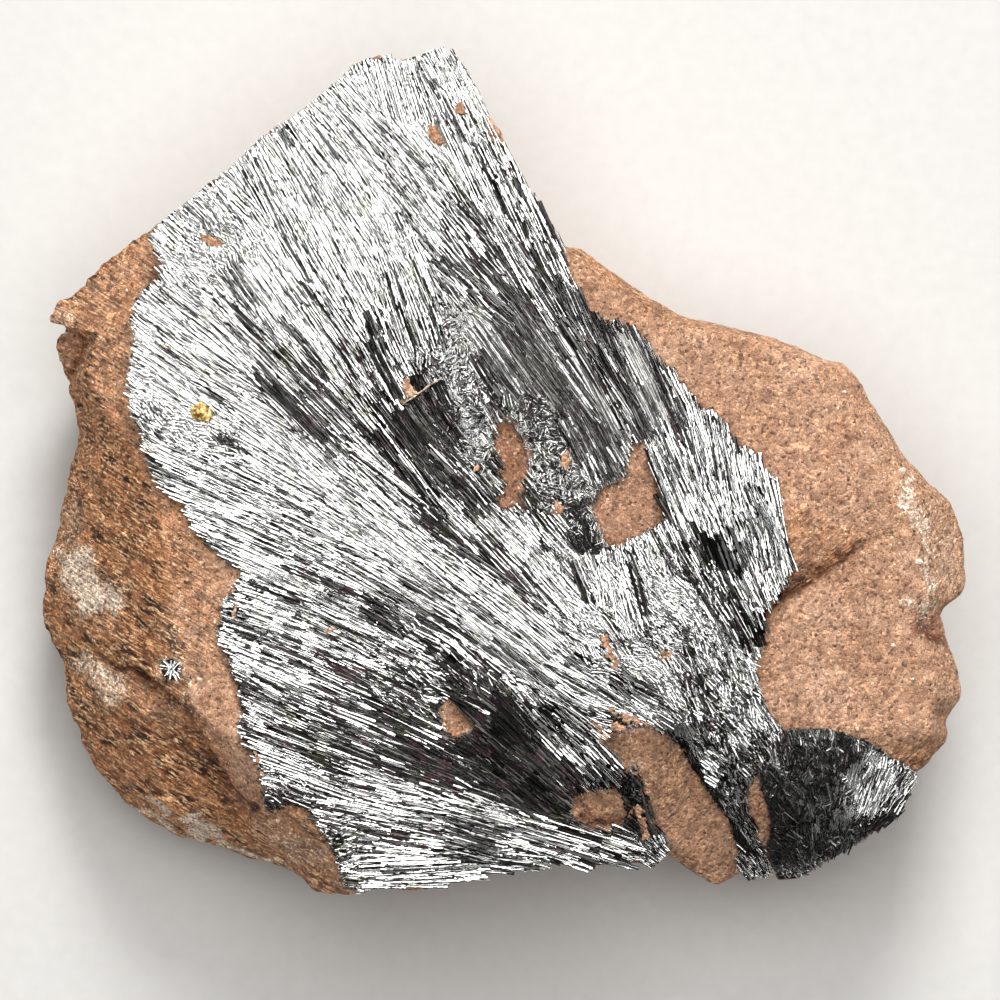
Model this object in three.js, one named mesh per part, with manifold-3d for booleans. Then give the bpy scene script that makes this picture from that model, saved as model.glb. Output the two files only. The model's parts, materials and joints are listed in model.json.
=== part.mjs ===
// A hand specimen of pyrolusite on its host rock, lying on its back.
//
// The host rock is a broken slab of fine reddish-brown sandstone. A crust of pyrolusite, manganese
// dioxide in long steel-grey blades, grew over its face in several intergrown sprays, and the rock
// shows again through windows in the crust. A second, darker spray caps the lower right corner, where
// the face leans down. A tiny rosette of the same blades sits on the left flank, and a grain of yellow
// ochre sits in the crust.
//
// Units are millimetres. +Z is up, out of the crust, and +Y is the far edge of the slab. The origin is
// the middle of the resting face.

import * as THREE from "three";
import { mergeVertices } from "three/addons/utils/BufferGeometryUtils.js";
import Module from "manifold-3d";

const wasm = await Module();
wasm.setup();

// ---------------------------------------------------------------- driving dimensions

const FACE_HEIGHT = 24.4; // level of the bare rock face above the resting face
const CRUST_PROUD = 1.2; // how far the crust stands above the rock beside it
const CRUST_DEPTH = 3.4; // full thickness of the crust
const CLEARANCE = 0.3; // gap between two pieces that touch
const SKY = 40; // a height above everything

const CORNER_LEAN = 0.6; // fall of the face per millimetre, in the lower right corner
const CORNER_Y = -26; // the lean starts below this line
const CORNER_X = [3, 13]; // and fades in from left to right between these

const SPOKE_STEP = 3.4; // widest spacing of the rock's vertices along its outline
const FACE_RINGS = [0.6, 0.73, 0.81, 0.87, 0.925, 0.965, 1]; // shares of the outline's radius
const FLANK_RINGS = [
  // [share of the way in to the foot, share of the edge's height]
  [0.08, 0.74],
  [0.35, 0.4],
  [0.72, 0.13],
  [1, 0],
];
const FACE_ROUGHNESS = 0.16; // height of the bumps on the bare face
const FLANK_ROUGHNESS = 1.5; // depth of the lumps on the broken flanks
const LUMP_SIZE = 7.5; // width of one lump
const SLAB_CELL = 6; // cell of the smooth grids under and on the crust

const BLADE_SPACING = 7.8; // from one ridge of blades to the next
const BLADE_WIDTH = 2.9;
const BLADE_STEP = 3.6; // from station to station along a ridge, two each way from its middle
const BLADE_CREST = 0.45; // height of a ridge above the crust's mean level
const BLADE_ROOT = 0.7; // depth of a ridge's sides below it
const FAN_BLADES = 17;

// ---------------------------------------------------------------- outlines, seen from above

const CENTRE = [-3.2, -2.8]; // every ray from here crosses the rock's outline once

const ROCK_OUTLINE = [
  // left tip, and up the far left edge
  [-46.2, 15.2], [-44, 17.1], [-42.4, 18.1], [-40.4, 20.2], [-36.2, 23.4], [-32, 25.7], [-25.6, 30.7],
  [-24, 33.2], [-22.6, 34.6], [-21.3, 35.1], [-19, 36.1], [-15.2, 39.2], [-12.2, 40.5], [-9.2, 40.2],
  // top, and down the far right edge
  [-6.6, 41.1], [-4.7, 40.4], [-3.2, 38.5], [-2.3, 36.1], [-1.2, 35.2], [-0.3, 34.1], [1, 30.5], [2.2, 27.9],
  [5.6, 22.8], [8.1, 22], [9.6, 20.8], [12.8, 18.4], [17, 15.9], [20.3, 15], [26.8, 13.4], [30.1, 12.2],
  // right corner
  [31.8, 11.2], [34.1, 10.8], [35.8, 8.8], [36.6, 6.9], [40.3, 1.2], [42.8, -1.5], [44.8, -3.1], [46, -6.5],
  [46.5, -11.1], [46, -12.2], [44.4, -13], [43.7, -14.2], [44.3, -16.8], [45.2, -19.4], [45.8, -22.4],
  // near right, under the corner spray
  [44.2, -24.7], [44.6, -26.6], [42.3, -29.2], [40.6, -30.6], [38.8, -33.4], [34.8, -36], [30.3, -38.6],
  [27.3, -40.1], [24, -40], [21.6, -41.4], [19.2, -40.1],
  // near edge, under the crust
  [16.6, -38.2], [14.3, -37.8], [9.8, -37.6], [5.8, -37.4], [-0.2, -38.5], [-4.7, -39.4], [-7.2, -41.1],
  [-8.5, -41.5], [-11.2, -41.2], [-15.7, -42.1],
  // near left, and back up the left flank
  [-18.5, -41.7], [-20.7, -40.2], [-25.2, -38.7], [-29.2, -37.2], [-32.7, -36.4], [-35.9, -35], [-38.2, -32.8],
  [-41.2, -29.2], [-42.4, -26.2], [-43.8, -23], [-44.1, -18.9], [-45.5, -16.2], [-46.4, -13.2], [-45.7, -8.8],
  [-44, -4], [-43.2, 0.1], [-42.4, 3.8], [-42.8, 6.5], [-43.9, 9.7], [-45.2, 12.2],
];

const CRUST_OUTLINE = [
  // far edge, where the crust ends at the edge of the slab
  [-34.6, 24.4], [-32.2, 26.2], [-30.2, 28], [-26.5, 30.7], [-24, 33.4], [-21.4, 35.1], [-18, 37.6],
  [-15.7, 39.7], [-14.5, 40.8], [-12.2, 41.6], [-11.7, 41], [-9.2, 41.2], [-6.9, 42.1], [-4.9, 41.4],
  [-3.5, 39.7], [-2.2, 35.8], [-1.2, 33.9], [0.1, 31.7], [1.8, 29.1], [3.8, 26.1], [5.8, 22.8],
  // right contact with the bare rock, stepped where bundles of blades end
  [6, 21.1], [5.2, 19.4], [7.1, 18.4], [7.8, 16.2], [9.1, 14.9], [11.5, 14.8], [13.2, 13.4], [14, 12],
  [16.6, 9.5], [18.4, 7.1], [21, 5.5], [22.6, 3.2], [25, 1.4], [25.6, -0.2], [27.2, -1.2], [27.7, -3.1],
  [27.1, -5.2], [28.2, -7.8], [28.3, -10], [26.8, -12.8], [25.5, -14.6], [25.5, -17.2], [25, -18.8],
  [25.5, -21.8], [26.3, -24], [27.8, -25.7],
  // seam with the corner spray
  [26.4, -27.8], [25.5, -29.8], [24.4, -31.4], [24.1, -32.8], [24.8, -34.6], [25.4, -36.6], [26.4, -38.8],
  [27.1, -40.4],
  // round the bare rock that reaches the near edge
  [24, -40.5], [23.6, -39], [23.8, -37.6], [22.9, -35], [20.8, -31.8], [18.6, -28.5], [17.8, -27],
  [15.8, -25.6], [13.8, -25.2], [11, -25.9], [9.9, -27.2], [10.5, -29.1], [12.3, -30.4], [13.3, -28.5],
  [13.8, -31.2], [15, -34.2], [15.8, -36.6], [16.2, -38.4],
  // near edge, where the crust overhangs
  [15.6, -39.1], [13, -39.1], [9.8, -38.7], [7, -38.2], [3.8, -39], [-1.2, -39.9], [-3.4, -39.5],
  [-5.8, -40.5], [-9, -40.8], [-12.2, -41.1], [-14.5, -41.7],
  // left contact with the bare flank
  [-15.8, -40.8], [-16.6, -37.9], [-18, -35.6], [-18.9, -33.1], [-20.4, -32.5], [-22, -33.1], [-22.7, -34.1],
  [-23.6, -33], [-23.6, -31.1], [-24.7, -28], [-26.2, -25], [-25.6, -23.2], [-26.3, -20.5], [-27.1, -17.8],
  [-28.2, -16], [-28.1, -13.4], [-26.9, -11.5], [-25, -10.1], [-27, -8.3], [-29.4, -6.4], [-31.2, -3.8],
  [-32.1, -2], [-34.5, -0.2], [-35.4, 2.5], [-36.9, 6.6], [-37.1, 9.9], [-36.5, 13.2], [-36.6, 16.4],
  [-36, 18.4], [-34.4, 18.4], [-33.6, 20.4], [-35, 23.1],
];

const CRUST_WINDOWS = [
  // boot-shaped, where a slab of blades sprang off
  [[12, 2.7], [14.6, 3.2], [15, 2.5], [15, 0.5], [16.9, -3.6], [16.5, -4.5], [14.1, -6.1], [11.5, -7.7],
   [10.3, -7.4], [9.8, -5.6], [8.9, -4], [9.5, -1.8], [11.5, -1]],
  // tall, left of it
  [[-0.6, 5.2], [0.7, 5.2], [2.1, 3.2], [2.6, 0.5], [2.1, -1.5], [3.9, -3.6], [3.3, -4.2], [1, -3.4],
   [-1.4, -4.2], [-1.8, -3.8], [-0.3, -2.5], [-0.3, 0.2], [-0.9, 3]],
  // round, low in the middle
  [[-6.2, -22.6], [-5, -22], [-2.4, -24], [-2.5, -25.7], [-4.5, -26.7], [-6, -26.2], [-6.6, -24.4]],
  // broad, near the near edge
  [[6.9, -32], [7.8, -31], [9, -31.8], [10.9, -31], [12.1, -32.2], [12.7, -34], [11.8, -35.6], [10.1, -36.6],
   [7.9, -36.1], [6.4, -34.9]],
];

const CORNER_OUTLINE = [
  [28.2, -25.9], [30.1, -25.7], [31.8, -25.5], [33.6, -25.9], [36.6, -26.9], [39.1, -28.6], [41.4, -30],
  [40.8, -31.6], [39.6, -34.1], [35.9, -36.9], [32.6, -39], [29.8, -40.7], [27.6, -41], [26.9, -38.8],
  [26.5, -37.2], [26.9, -35.6], [26.5, -32.8], [25.7, -31.2], [26, -29.9], [26.9, -27.9],
];

// ---------------------------------------------------------------- the rock's edge and its breaks

// The rock's edge by bearing from the centre: where the face ends and starts to fall, as a share of the
// way out, the height of the edge, and how far in its foot stands.
const RIM = [
  { bearing: 0, plateau: 0.93, edge: 19, foot: 0.86 },
  { bearing: 22, plateau: 0.95, edge: 20.5, foot: 0.84 },
  { bearing: 48, plateau: 0.96, edge: 20, foot: 0.76 },
  { bearing: 66, plateau: 0.97, edge: 21.6, foot: 0.84 },
  { bearing: 92, plateau: 0.97, edge: 21.8, foot: 0.84 },
  { bearing: 132, plateau: 0.97, edge: 21.8, foot: 0.84 },
  { bearing: 146, plateau: 0.93, edge: 19, foot: 0.86 },
  { bearing: 157, plateau: 0.84, edge: 15.5, foot: 0.86 },
  { bearing: 172, plateau: 0.82, edge: 12.5, foot: 0.9 },
  { bearing: 195, plateau: 0.66, edge: 9.5, foot: 0.88 },
  { bearing: 220, plateau: 0.72, edge: 8.5, foot: 0.88 },
  { bearing: 240, plateau: 0.84, edge: 11, foot: 0.87 },
  { bearing: 254, plateau: 0.96, edge: 21.4, foot: 0.84 },
  { bearing: 281, plateau: 0.97, edge: 20.4, foot: 0.84 },
  { bearing: 298, plateau: 0.95, edge: 14.2, foot: 0.86 },
  { bearing: 308, plateau: 0.95, edge: 12, foot: 0.88 },
  { bearing: 318, plateau: 0.96, edge: 15.4, foot: 0.88 },
  { bearing: 328, plateau: 0.95, edge: 17.8, foot: 0.87 },
  { bearing: 340, plateau: 0.94, edge: 19, foot: 0.86 },
];

// Flat breaks: each takes away all that lies beyond a plane. The plane faces along its bearing, raised
// by its slope, and touches the furthest point of the outline that way at the height given.
const BREAKS = [
  { bearing: 191, slope: 44, height: 10.5 }, // left bulge
  { bearing: 158, slope: 62, height: 16 }, // tip
  { bearing: 204, slope: 36, height: 9.5 },
  { bearing: 3, slope: 40, height: 17.5 }, // bevel of the right corner
  { bearing: 12, slope: -30, height: 17 },
  { bearing: 49, slope: -38, height: 20 },
  { bearing: 80, slope: -16, height: 20.5 },
  { bearing: 118, slope: -22, height: 18 },
  { bearing: 143, slope: -24, height: 17 },
  { bearing: 176, slope: -40, height: 8 },
  { bearing: 214, slope: -34, height: 7 },
  { bearing: 262, slope: -24, height: 14 },
  { bearing: 300, slope: -30, height: 9 },
  { bearing: 334, slope: -26, height: 12 },
];

// The conchoidal scoop on the near left flank: a round-bottomed trough that runs along the ridge which
// divides it from the strip of rock beside the crust.
const SCOOP = {
  ridgeStart: new THREE.Vector3(-36.5, -19.2, 22.6),
  ridgeEnd: new THREE.Vector3(-14, -44, 20.5),
  radius: 27,
  outward: new THREE.Vector3(-0.84, -0.1, 0.52), // from the ridge to the trough's axis
};

// The step across the bare face: the face breaks off down a slope to this line, deepest beside the
// crust, and lies lower beyond it.
const SCARP = { from: [22, -17.4], to: [41, -4.2], drop: 2.7, width: 4.4, clear: 9 };

// The notch under the left tip: a small block has dropped out of the flank.
const NOTCH = { at: [-45.4, 11.2], size: [5.2, 7.6], floor: 12.2, turn: 73, tilt: 12 };

// Shallow hollows of the whole face: a middle line, a width and a depth.
const HOLLOWS = [
  { from: [-9, -15], to: [8, -31], width: 4.2, depth: 1.3 },
  { from: [-2, 13], to: [11, 6], width: 6, depth: 0.7 },
];

// ---------------------------------------------------------------- run of the blades

// [x, y, heading]: the blades' heading at places on the crust, in degrees from +X towards +Y.
const GRAIN = [
  [-35, 17, -38], [-30, 26, -45], [-22, 33, -57], [-18, 36, -50], [-10, 40, -74], [-4, 40, -60],
  [-20, 25, -63], [-10, 19, -70], [-7, 15, -76], [-13, 32, -44], [-2, 21, -47], [-5, 16, -36],
  [0, 32, -66], [4, 16, -58], [9, 16, -68], [16, 7, -66], [-25, 14, -44], [-32, 10, -33], [-20, 7, -45],
  [-34, 4, -30], [-28, -2, -23], [-8, 3, -54], [-3, -5, -45], [-12, -3, -36], [4, -9, -50], [-5, -11, -32],
  [-20, -9, -24], [-26, -15, -18], [6, -18, -34], [11, -9, -76], [16, -1, -68], [24, -1, -82],
  [19, -9, -60], [24, -12, -68], [18, -14, -38], [20, -22, -60], [19, -30, -52], [24, -29, -60],
  [-25, -23, -26], [-17, -25, -22], [-7, -23, -28], [0, -23, -44], [6, -26, -48], [0, -30, -40],
  [-10, -33, -12], [0, -35, -16], [10, -38, -18], [-14, -40, 0], [-5, -39, 4], [13, -33, -60],
];

// Places where a bundle has broken out and left a flat-floored gap: middle, heading, length, width, depth.
const BUNDLE_GAPS = [
  { at: [-7.2, 4.6], heading: -58, length: 10.5, width: 4.6, depth: 0.9 },
  { at: [-19.6, 6.6], heading: -47, length: 11, width: 1.9, depth: 0.7 },
  { at: [-1, -19.5], heading: -40, length: 12, width: 2.6, depth: 0.7 },
  { at: [12.6, 10], heading: -66, length: 8, width: 2, depth: 0.8 },
  { at: [-28, -1.8], heading: -22, length: 8.5, width: 1.1, depth: 0.6 },
];

const CORNER_ROOT = [32.2, -42.5]; // where the corner spray's blades meet
const CORNER_SPRAY = { first: 28, last: 138, inner: 2.5, outer: 18 }; // bearings, and reach

const ROSETTE = { at: [-33, -19.6], radius: 1.5, depth: 1.2, blades: 9 };
const OCHRE = { at: [-29.9, 5.9], size: [1.15, 0.85, 0.6], turn: -0.6 };

// ---------------------------------------------------------------- colours

const ROCK_FINISH = new THREE.MeshStandardMaterial({ color: 0xb08468, roughness: 0.9, metalness: 0 });
const CRUST_FINISH = new THREE.MeshStandardMaterial({ color: 0xa9abad, roughness: 0.32, metalness: 0.9 });
const CORNER_FINISH = new THREE.MeshStandardMaterial({ color: 0x4a4c4e, roughness: 0.4, metalness: 0.85 });
const OCHRE_FINISH = new THREE.MeshStandardMaterial({ color: 0xc9a24a, roughness: 0.6, metalness: 0 });

// ---------------------------------------------------------------- small mathematics

const radians = THREE.MathUtils.degToRad;
const mix = THREE.MathUtils.lerp;
const smoothstep = THREE.MathUtils.smoothstep;

// A repeatable number from 0 to 1 for a whole-number place.
function hash(i, j, k = 0) {
  const s = Math.sin(i * 127.1 + j * 311.7 + k * 74.7) * 43758.5453;
  return s - Math.floor(s);
}

// Smooth noise from -1 to 1, one bump per unit.
function noise(x, y, z) {
  const [i, j, k] = [Math.floor(x), Math.floor(y), Math.floor(z)];
  const [u, v, w] = [x - i, y - j, z - k].map((t) => t * t * (3 - 2 * t));
  const row = (b, c) => mix(hash(i, b, c), hash(i + 1, b, c), u);
  const plane = (c) => mix(row(j, c), row(j + 1, c), v);
  return mix(plane(k), plane(k + 1), w) * 2 - 1;
}

const lumps = (x, y, z) => noise(x / LUMP_SIZE, y / LUMP_SIZE, z / LUMP_SIZE);

// Distance of a point from a line segment, and how far along the segment its foot lies.
function fromSegment(x, y, [ax, ay], [bx, by]) {
  const [dx, dy] = [bx - ax, by - ay];
  const share = ((x - ax) * dx + (y - ay) * dy) / (dx * dx + dy * dy);
  const held = THREE.MathUtils.clamp(share, 0, 1);
  const side = (x - ax) * dy - (y - ay) * dx; // positive to the right of the segment
  return {
    share,
    distance: Math.hypot(x - ax - held * dx, y - ay - held * dy),
    side: side / Math.hypot(dx, dy),
  };
}

// ---------------------------------------------------------------- heights

// Height of the rock face before it was stepped.
function unbrokenHeight(x, y) {
  let z = FACE_HEIGHT - 0.018 * x - 0.008 * y;
  z -= CORNER_LEAN * Math.max(0, CORNER_Y - y) * smoothstep(x, ...CORNER_X);
  for (const h of HOLLOWS) {
    const { distance } = fromSegment(x, y, h.from, h.to);
    z -= h.depth * Math.exp(-((distance / h.width) ** 2));
  }
  return z;
}

// Depth of the step's lower side at a place, and how far the place is beyond the step's foot.
function scarpAt(x, y) {
  const { share, side } = fromSegment(x, y, SCARP.from, SCARP.to);
  const fade = THREE.MathUtils.clamp(1 - share, 0, 1) * smoothstep(x, 14, SCARP.from[0]);
  return { depth: SCARP.drop * fade, side };
}

// Height of the bare rock face.
function faceHeight(x, y) {
  const { depth, side } = scarpAt(x, y);
  return unbrokenHeight(x, y) - depth * THREE.MathUtils.clamp(1 + side / SCARP.width, 0, 1);
}

// Height of the blank's face: it stands full over the step, which is cut later.
function blankHeight(x, y) {
  const { depth, side } = scarpAt(x, y);
  return unbrokenHeight(x, y) - depth * smoothstep(side, 3, SCARP.clear - 1);
}

const crustTop = (x, y) => faceHeight(x, y) + CRUST_PROUD;
const seatHeight = (x, y) => faceHeight(x, y) + CRUST_PROUD - CRUST_DEPTH;

// Heading of the blades at a place, in radians: the nearest readings count most. Headings are averaged
// by their doubled angle, because a blade has no front end.
function grainAt(x, y) {
  let [c, s] = [0, 0];
  for (const [gx, gy, heading] of GRAIN) {
    const weight = 1 / ((x - gx) ** 2 + (y - gy) ** 2 + 0.5) ** 2;
    c += weight * Math.cos(2 * radians(heading));
    s += weight * Math.sin(2 * radians(heading));
  }
  return Math.atan2(s, c) / 2;
}

// ---------------------------------------------------------------- solids

function solidFrom(geometry) {
  const bare = geometry.clone();
  bare.deleteAttribute("normal");
  bare.deleteAttribute("uv");
  const merged = mergeVertices(bare, 1e-4);
  const mesh = new wasm.Mesh({
    numProp: 3,
    vertProperties: new Float32Array(merged.attributes.position.array),
    triVerts: new Uint32Array(merged.index.array),
  });
  return new wasm.Manifold(mesh);
}

function geometryFrom(solid) {
  const mesh = solid.getMesh();
  const geometry = new THREE.BufferGeometry();
  geometry.setAttribute("position", new THREE.BufferAttribute(mesh.vertProperties, 3));
  geometry.setIndex(new THREE.BufferAttribute(mesh.triVerts, 1));
  geometry.computeVertexNormals();
  return geometry;
}

function geometryOf(vertices, triangles) {
  const geometry = new THREE.BufferGeometry();
  geometry.setAttribute("position", new THREE.Float32BufferAttribute(vertices.flat(), 3));
  geometry.setIndex(triangles.flat());
  return geometry;
}

function area(points) {
  return points.reduce((sum, [x, y], i) => {
    const [nx, ny] = points[(i + 1) % points.length];
    return sum + (x * ny - nx * y) / 2;
  }, 0);
}

// The outline moved outwards by a distance, or inwards by a negative one.
function grown(points, distance) {
  const turn = Math.sign(area(points));
  return points.map(([x, y], i) => {
    const [px, py] = points[(i + points.length - 1) % points.length];
    const [nx, ny] = points[(i + 1) % points.length];
    const along = new THREE.Vector2(x - px, y - py).normalize();
    along.add(new THREE.Vector2(nx - x, ny - y).normalize()).normalize();
    return [x + along.y * distance * turn, y - along.x * distance * turn];
  });
}

// A wall-to-wall prism of an outline with holes, from the table to above everything.
function prism(outline, holes = []) {
  const round = area(outline) < 0 ? [...outline].reverse() : outline;
  const shape = new THREE.Shape(round.map(([x, y]) => new THREE.Vector2(x, y)));
  shape.holes = holes.map((hole) => new THREE.Path(hole.map(([x, y]) => new THREE.Vector2(x, y))));
  return solidFrom(new THREE.ExtrudeGeometry(shape, { depth: SKY, bevelEnabled: false }));
}

// A slab between two height functions, on a square grid that covers the whole specimen.
function slab(under, over) {
  const half = 8; // cells each way from the middle
  const wide = 2 * half + 1;
  const vertices = [];
  for (const height of [under, over])
    for (let j = -half; j <= half; j++)
      for (let i = -half; i <= half; i++) {
        const [x, y] = [i * SLAB_CELL, j * SLAB_CELL];
        vertices.push([x, y, height(x, y)]);
      }
  const at = (i, j, level) => level * wide * wide + j * wide + i;
  const triangles = [];
  const quad = (a, b, c, d) => triangles.push([a, b, c], [a, c, d]);
  for (let j = 0; j < wide - 1; j++)
    for (let i = 0; i < wide - 1; i++) {
      quad(at(i, j, 1), at(i + 1, j, 1), at(i + 1, j + 1, 1), at(i, j + 1, 1));
      quad(at(i, j, 0), at(i, j + 1, 0), at(i + 1, j + 1, 0), at(i + 1, j, 0));
    }
  const last = wide - 1;
  for (let i = 0; i < last; i++) {
    quad(at(i, 0, 0), at(i + 1, 0, 0), at(i + 1, 0, 1), at(i, 0, 1));
    quad(at(i + 1, last, 0), at(i, last, 0), at(i, last, 1), at(i + 1, last, 1));
    quad(at(0, i + 1, 0), at(0, i, 0), at(0, i, 1), at(0, i + 1, 1));
    quad(at(last, i, 0), at(last, i + 1, 0), at(last, i + 1, 1), at(last, i, 1));
  }
  return solidFrom(geometryOf(vertices, triangles));
}

// A ridge of blades: a three-sided bar through a row of stations, pointed at both ends.
function ridge(stations, width, crest, root, lean) {
  const first = stations[0];
  const last = stations[stations.length - 1];
  const vertices = [[first.x, first.y, first.z - root / 2]];
  stations.slice(1, -1).forEach((s, i) => {
    const [sx, sy] = [-Math.sin(s.heading), Math.cos(s.heading)];
    const swell = 1 - 0.35 * Math.abs((2 * i) / Math.max(1, stations.length - 3) - 1);
    const half = (width / 2) * swell;
    vertices.push([s.x + sx * half, s.y + sy * half, s.z - root]);
    vertices.push([s.x - sx * half, s.y - sy * half, s.z - root]);
    vertices.push([s.x + sx * lean * half, s.y + sy * lean * half, s.z + crest * swell]);
  });
  vertices.push([last.x, last.y, last.z - root / 2]);
  const end = vertices.length - 1;
  const sections = stations.length - 2;
  const triangles = [];
  for (let side = 0; side < 3; side++) {
    const next = (side + 1) % 3;
    triangles.push([0, 1 + next, 1 + side]);
    for (let k = 0; k < sections - 1; k++) {
      const [a, b] = [1 + 3 * k + side, 1 + 3 * k + next];
      triangles.push([a, b, b + 3], [a, b + 3, a + 3]);
    }
    triangles.push([1 + 3 * (sections - 1) + side, 1 + 3 * (sections - 1) + next, end]);
  }
  const solid = solidFrom(geometryOf(vertices, triangles));
  if (solid.volume() > 0) return solid;
  return solidFrom(geometryOf(vertices, triangles.map(([a, b, c]) => [a, c, b])));
}

// Five stations along the grain, with the given place in the middle.
function stationsThrough(x, y) {
  const walk = (way) => {
    const found = [];
    let [px, py, heading] = [x, y, grainAt(x, y) + (way < 0 ? Math.PI : 0)];
    for (let i = 0; i < 2; i++) {
      px += Math.cos(heading) * BLADE_STEP;
      py += Math.sin(heading) * BLADE_STEP;
      const next = grainAt(px, py);
      heading = Math.cos(next - heading) < 0 ? next + Math.PI : next;
      found.push({ x: px, y: py, z: crustTop(px, py), heading: way < 0 ? heading + Math.PI : heading });
    }
    return found;
  };
  const middle = { x, y, z: crustTop(x, y), heading: grainAt(x, y) };
  return [...walk(-1).reverse(), middle, ...walk(1)];
}

// ---------------------------------------------------------------- host rock

// The rim's values at a bearing in degrees, between the two nearest entries of RIM.
function rimAt(bearing) {
  const turned = ((bearing % 360) + 360) % 360;
  let next = RIM.findIndex((r) => r.bearing > turned);
  if (next < 0) next = 0;
  const [a, b] = [RIM[(next + RIM.length - 1) % RIM.length], RIM[next]];
  const span = (b.bearing - a.bearing + 360) % 360;
  const share = ((turned - a.bearing + 360) % 360) / span;
  const at = (key) => mix(a[key], b[key], share);
  return { plateau: at("plateau"), edge: at("edge"), foot: at("foot") };
}

// The outline's points with others between them, so that none are further apart than a step.
function spokes(outline, step) {
  return outline.flatMap(([x, y], i) => {
    const [nx, ny] = outline[(i + 1) % outline.length];
    const parts = Math.ceil(Math.hypot(nx - x, ny - y) / step);
    return Array.from({ length: parts }, (_, k) => [mix(x, nx, k / parts), mix(y, ny, k / parts)]);
  });
}

function rockBlank() {
  const rim = spokes(ROCK_OUTLINE, SPOKE_STEP).map(([x, y]) => {
    const [dx, dy] = [x - CENTRE[0], y - CENTRE[1]];
    return { x, y, reach: Math.hypot(dx, dy), ...rimAt(THREE.MathUtils.radToDeg(Math.atan2(dy, dx))) };
  });
  const outwards = (spoke, share) => [mix(CENTRE[0], spoke.x, share), mix(CENTRE[1], spoke.y, share)];
  const faceRings = FACE_RINGS.map((share) =>
    rim.map((spoke) => {
      const [x, y] = outwards(spoke, share);
      const fall = Math.max(0, (share - spoke.plateau) / (1 - spoke.plateau));
      const level = mix(blankHeight(x, y), spoke.edge, fall ** 1.5);
      const rough = mix(FACE_ROUGHNESS, FLANK_ROUGHNESS, Math.min(1, fall));
      return [x, y, level + rough * lumps(x, y, level)];
    }),
  );
  const flankRings = FLANK_RINGS.map(([inward, lift]) =>
    rim.map((spoke) => {
      const z = spoke.edge * lift;
      const share = mix(1, spoke.foot, inward);
      const depth = FLANK_ROUGHNESS * (1 + lumps(...outwards(spoke, share), z)) * Math.min(1, 3 * inward);
      return [...outwards(spoke, share - depth / spoke.reach), z];
    }),
  );
  const rings = [...faceRings, ...flankRings];
  const vertices = [[...CENTRE, blankHeight(...CENTRE)], ...rings.flat(), [...CENTRE, 0]];
  const triangles = [];
  const count = rim.length;
  const at = (ring, i) => 1 + ring * count + (i % count);
  for (let i = 0; i < count; i++) {
    // the outline runs clockwise, so each face is listed the other way round
    triangles.push([0, at(0, i + 1), at(0, i)]);
    for (let ring = 0; ring < rings.length - 1; ring++)
      triangles.push(
        [at(ring, i), at(ring, i + 1), at(ring + 1, i + 1)],
        [at(ring, i), at(ring + 1, i + 1), at(ring + 1, i)],
      );
    triangles.push([vertices.length - 1, at(rings.length - 1, i), at(rings.length - 1, i + 1)]);
  }
  return solidFrom(geometryOf(vertices, triangles));
}

// All that lies beyond a plane of the rock, as a large block.
function beyond({ bearing, slope, height }) {
  const flat = new THREE.Vector3(Math.cos(radians(bearing)), Math.sin(radians(bearing)), 0);
  const up = new THREE.Vector3(0, 0, 1);
  const normal = flat.clone().multiplyScalar(Math.cos(radians(slope)));
  normal.addScaledVector(up, Math.sin(radians(slope)));
  const furthest = ROCK_OUTLINE.map(([x, y]) => new THREE.Vector3(x, y, height)).reduce((best, point) =>
    point.dot(flat) > best.dot(flat) ? point : best,
  );
  const [wide, deep] = [220, 60];
  const block = new THREE.BoxGeometry(wide, wide, deep).translate(0, 0, deep / 2);
  block.applyQuaternion(new THREE.Quaternion().setFromUnitVectors(up, normal));
  return solidFrom(block.translate(furthest.x, furthest.y, furthest.z));
}

function scoop() {
  const along = SCOOP.ridgeEnd.clone().sub(SCOOP.ridgeStart);
  const middle = SCOOP.ridgeStart.clone().addScaledVector(along, 0.5);
  const axis = along.clone().normalize();
  const out = SCOOP.outward.clone().addScaledVector(axis, -SCOOP.outward.dot(axis)).normalize();
  const trough = new THREE.CylinderGeometry(SCOOP.radius, SCOOP.radius, along.length() + 8, 44, 3);
  trough.applyQuaternion(new THREE.Quaternion().setFromUnitVectors(new THREE.Vector3(0, 1, 0), axis));
  const at = middle.addScaledVector(out, SCOOP.radius);
  return solidFrom(trough.translate(at.x, at.y, at.z));
}

// What the step takes away: a long wedge with the slope on one side and the lower face beneath.
function scarpWedge() {
  const [from, to] = [new THREE.Vector2(...SCARP.from), new THREE.Vector2(...SCARP.to)];
  const along = to.clone().sub(from);
  const across = new THREE.Vector2(along.y, -along.x).normalize(); // towards the lower side
  const section = (share) => {
    const foot = from.clone().addScaledVector(along, share);
    const depth = SCARP.drop * (1 - share);
    const high = 6;
    const run = (SCARP.width / SCARP.drop) * (depth + high);
    return [[0, -depth], [SCARP.clear, -depth], [SCARP.clear, high], [-run, high]].map(([out, lift]) => {
      const place = foot.clone().addScaledVector(across, out);
      const level = lift === high ? FACE_HEIGHT : unbrokenHeight(place.x, place.y);
      return [place.x, place.y, level + lift];
    });
  };
  const vertices = [...section(-0.12), ...section(1.02)];
  const ends = [[0, 1, 2], [0, 2, 3], [4, 6, 5], [4, 7, 6]];
  const sides = [0, 1, 2, 3].flatMap((i) => {
    const j = (i + 1) % 4;
    return [[i, i + 4, j + 4], [i, j + 4, j]];
  });
  const triangles = [...ends, ...sides];
  const solid = solidFrom(geometryOf(vertices, triangles));
  if (solid.volume() > 0) return solid;
  return solidFrom(geometryOf(vertices, triangles.map(([a, b, c]) => [a, c, b])));
}

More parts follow.
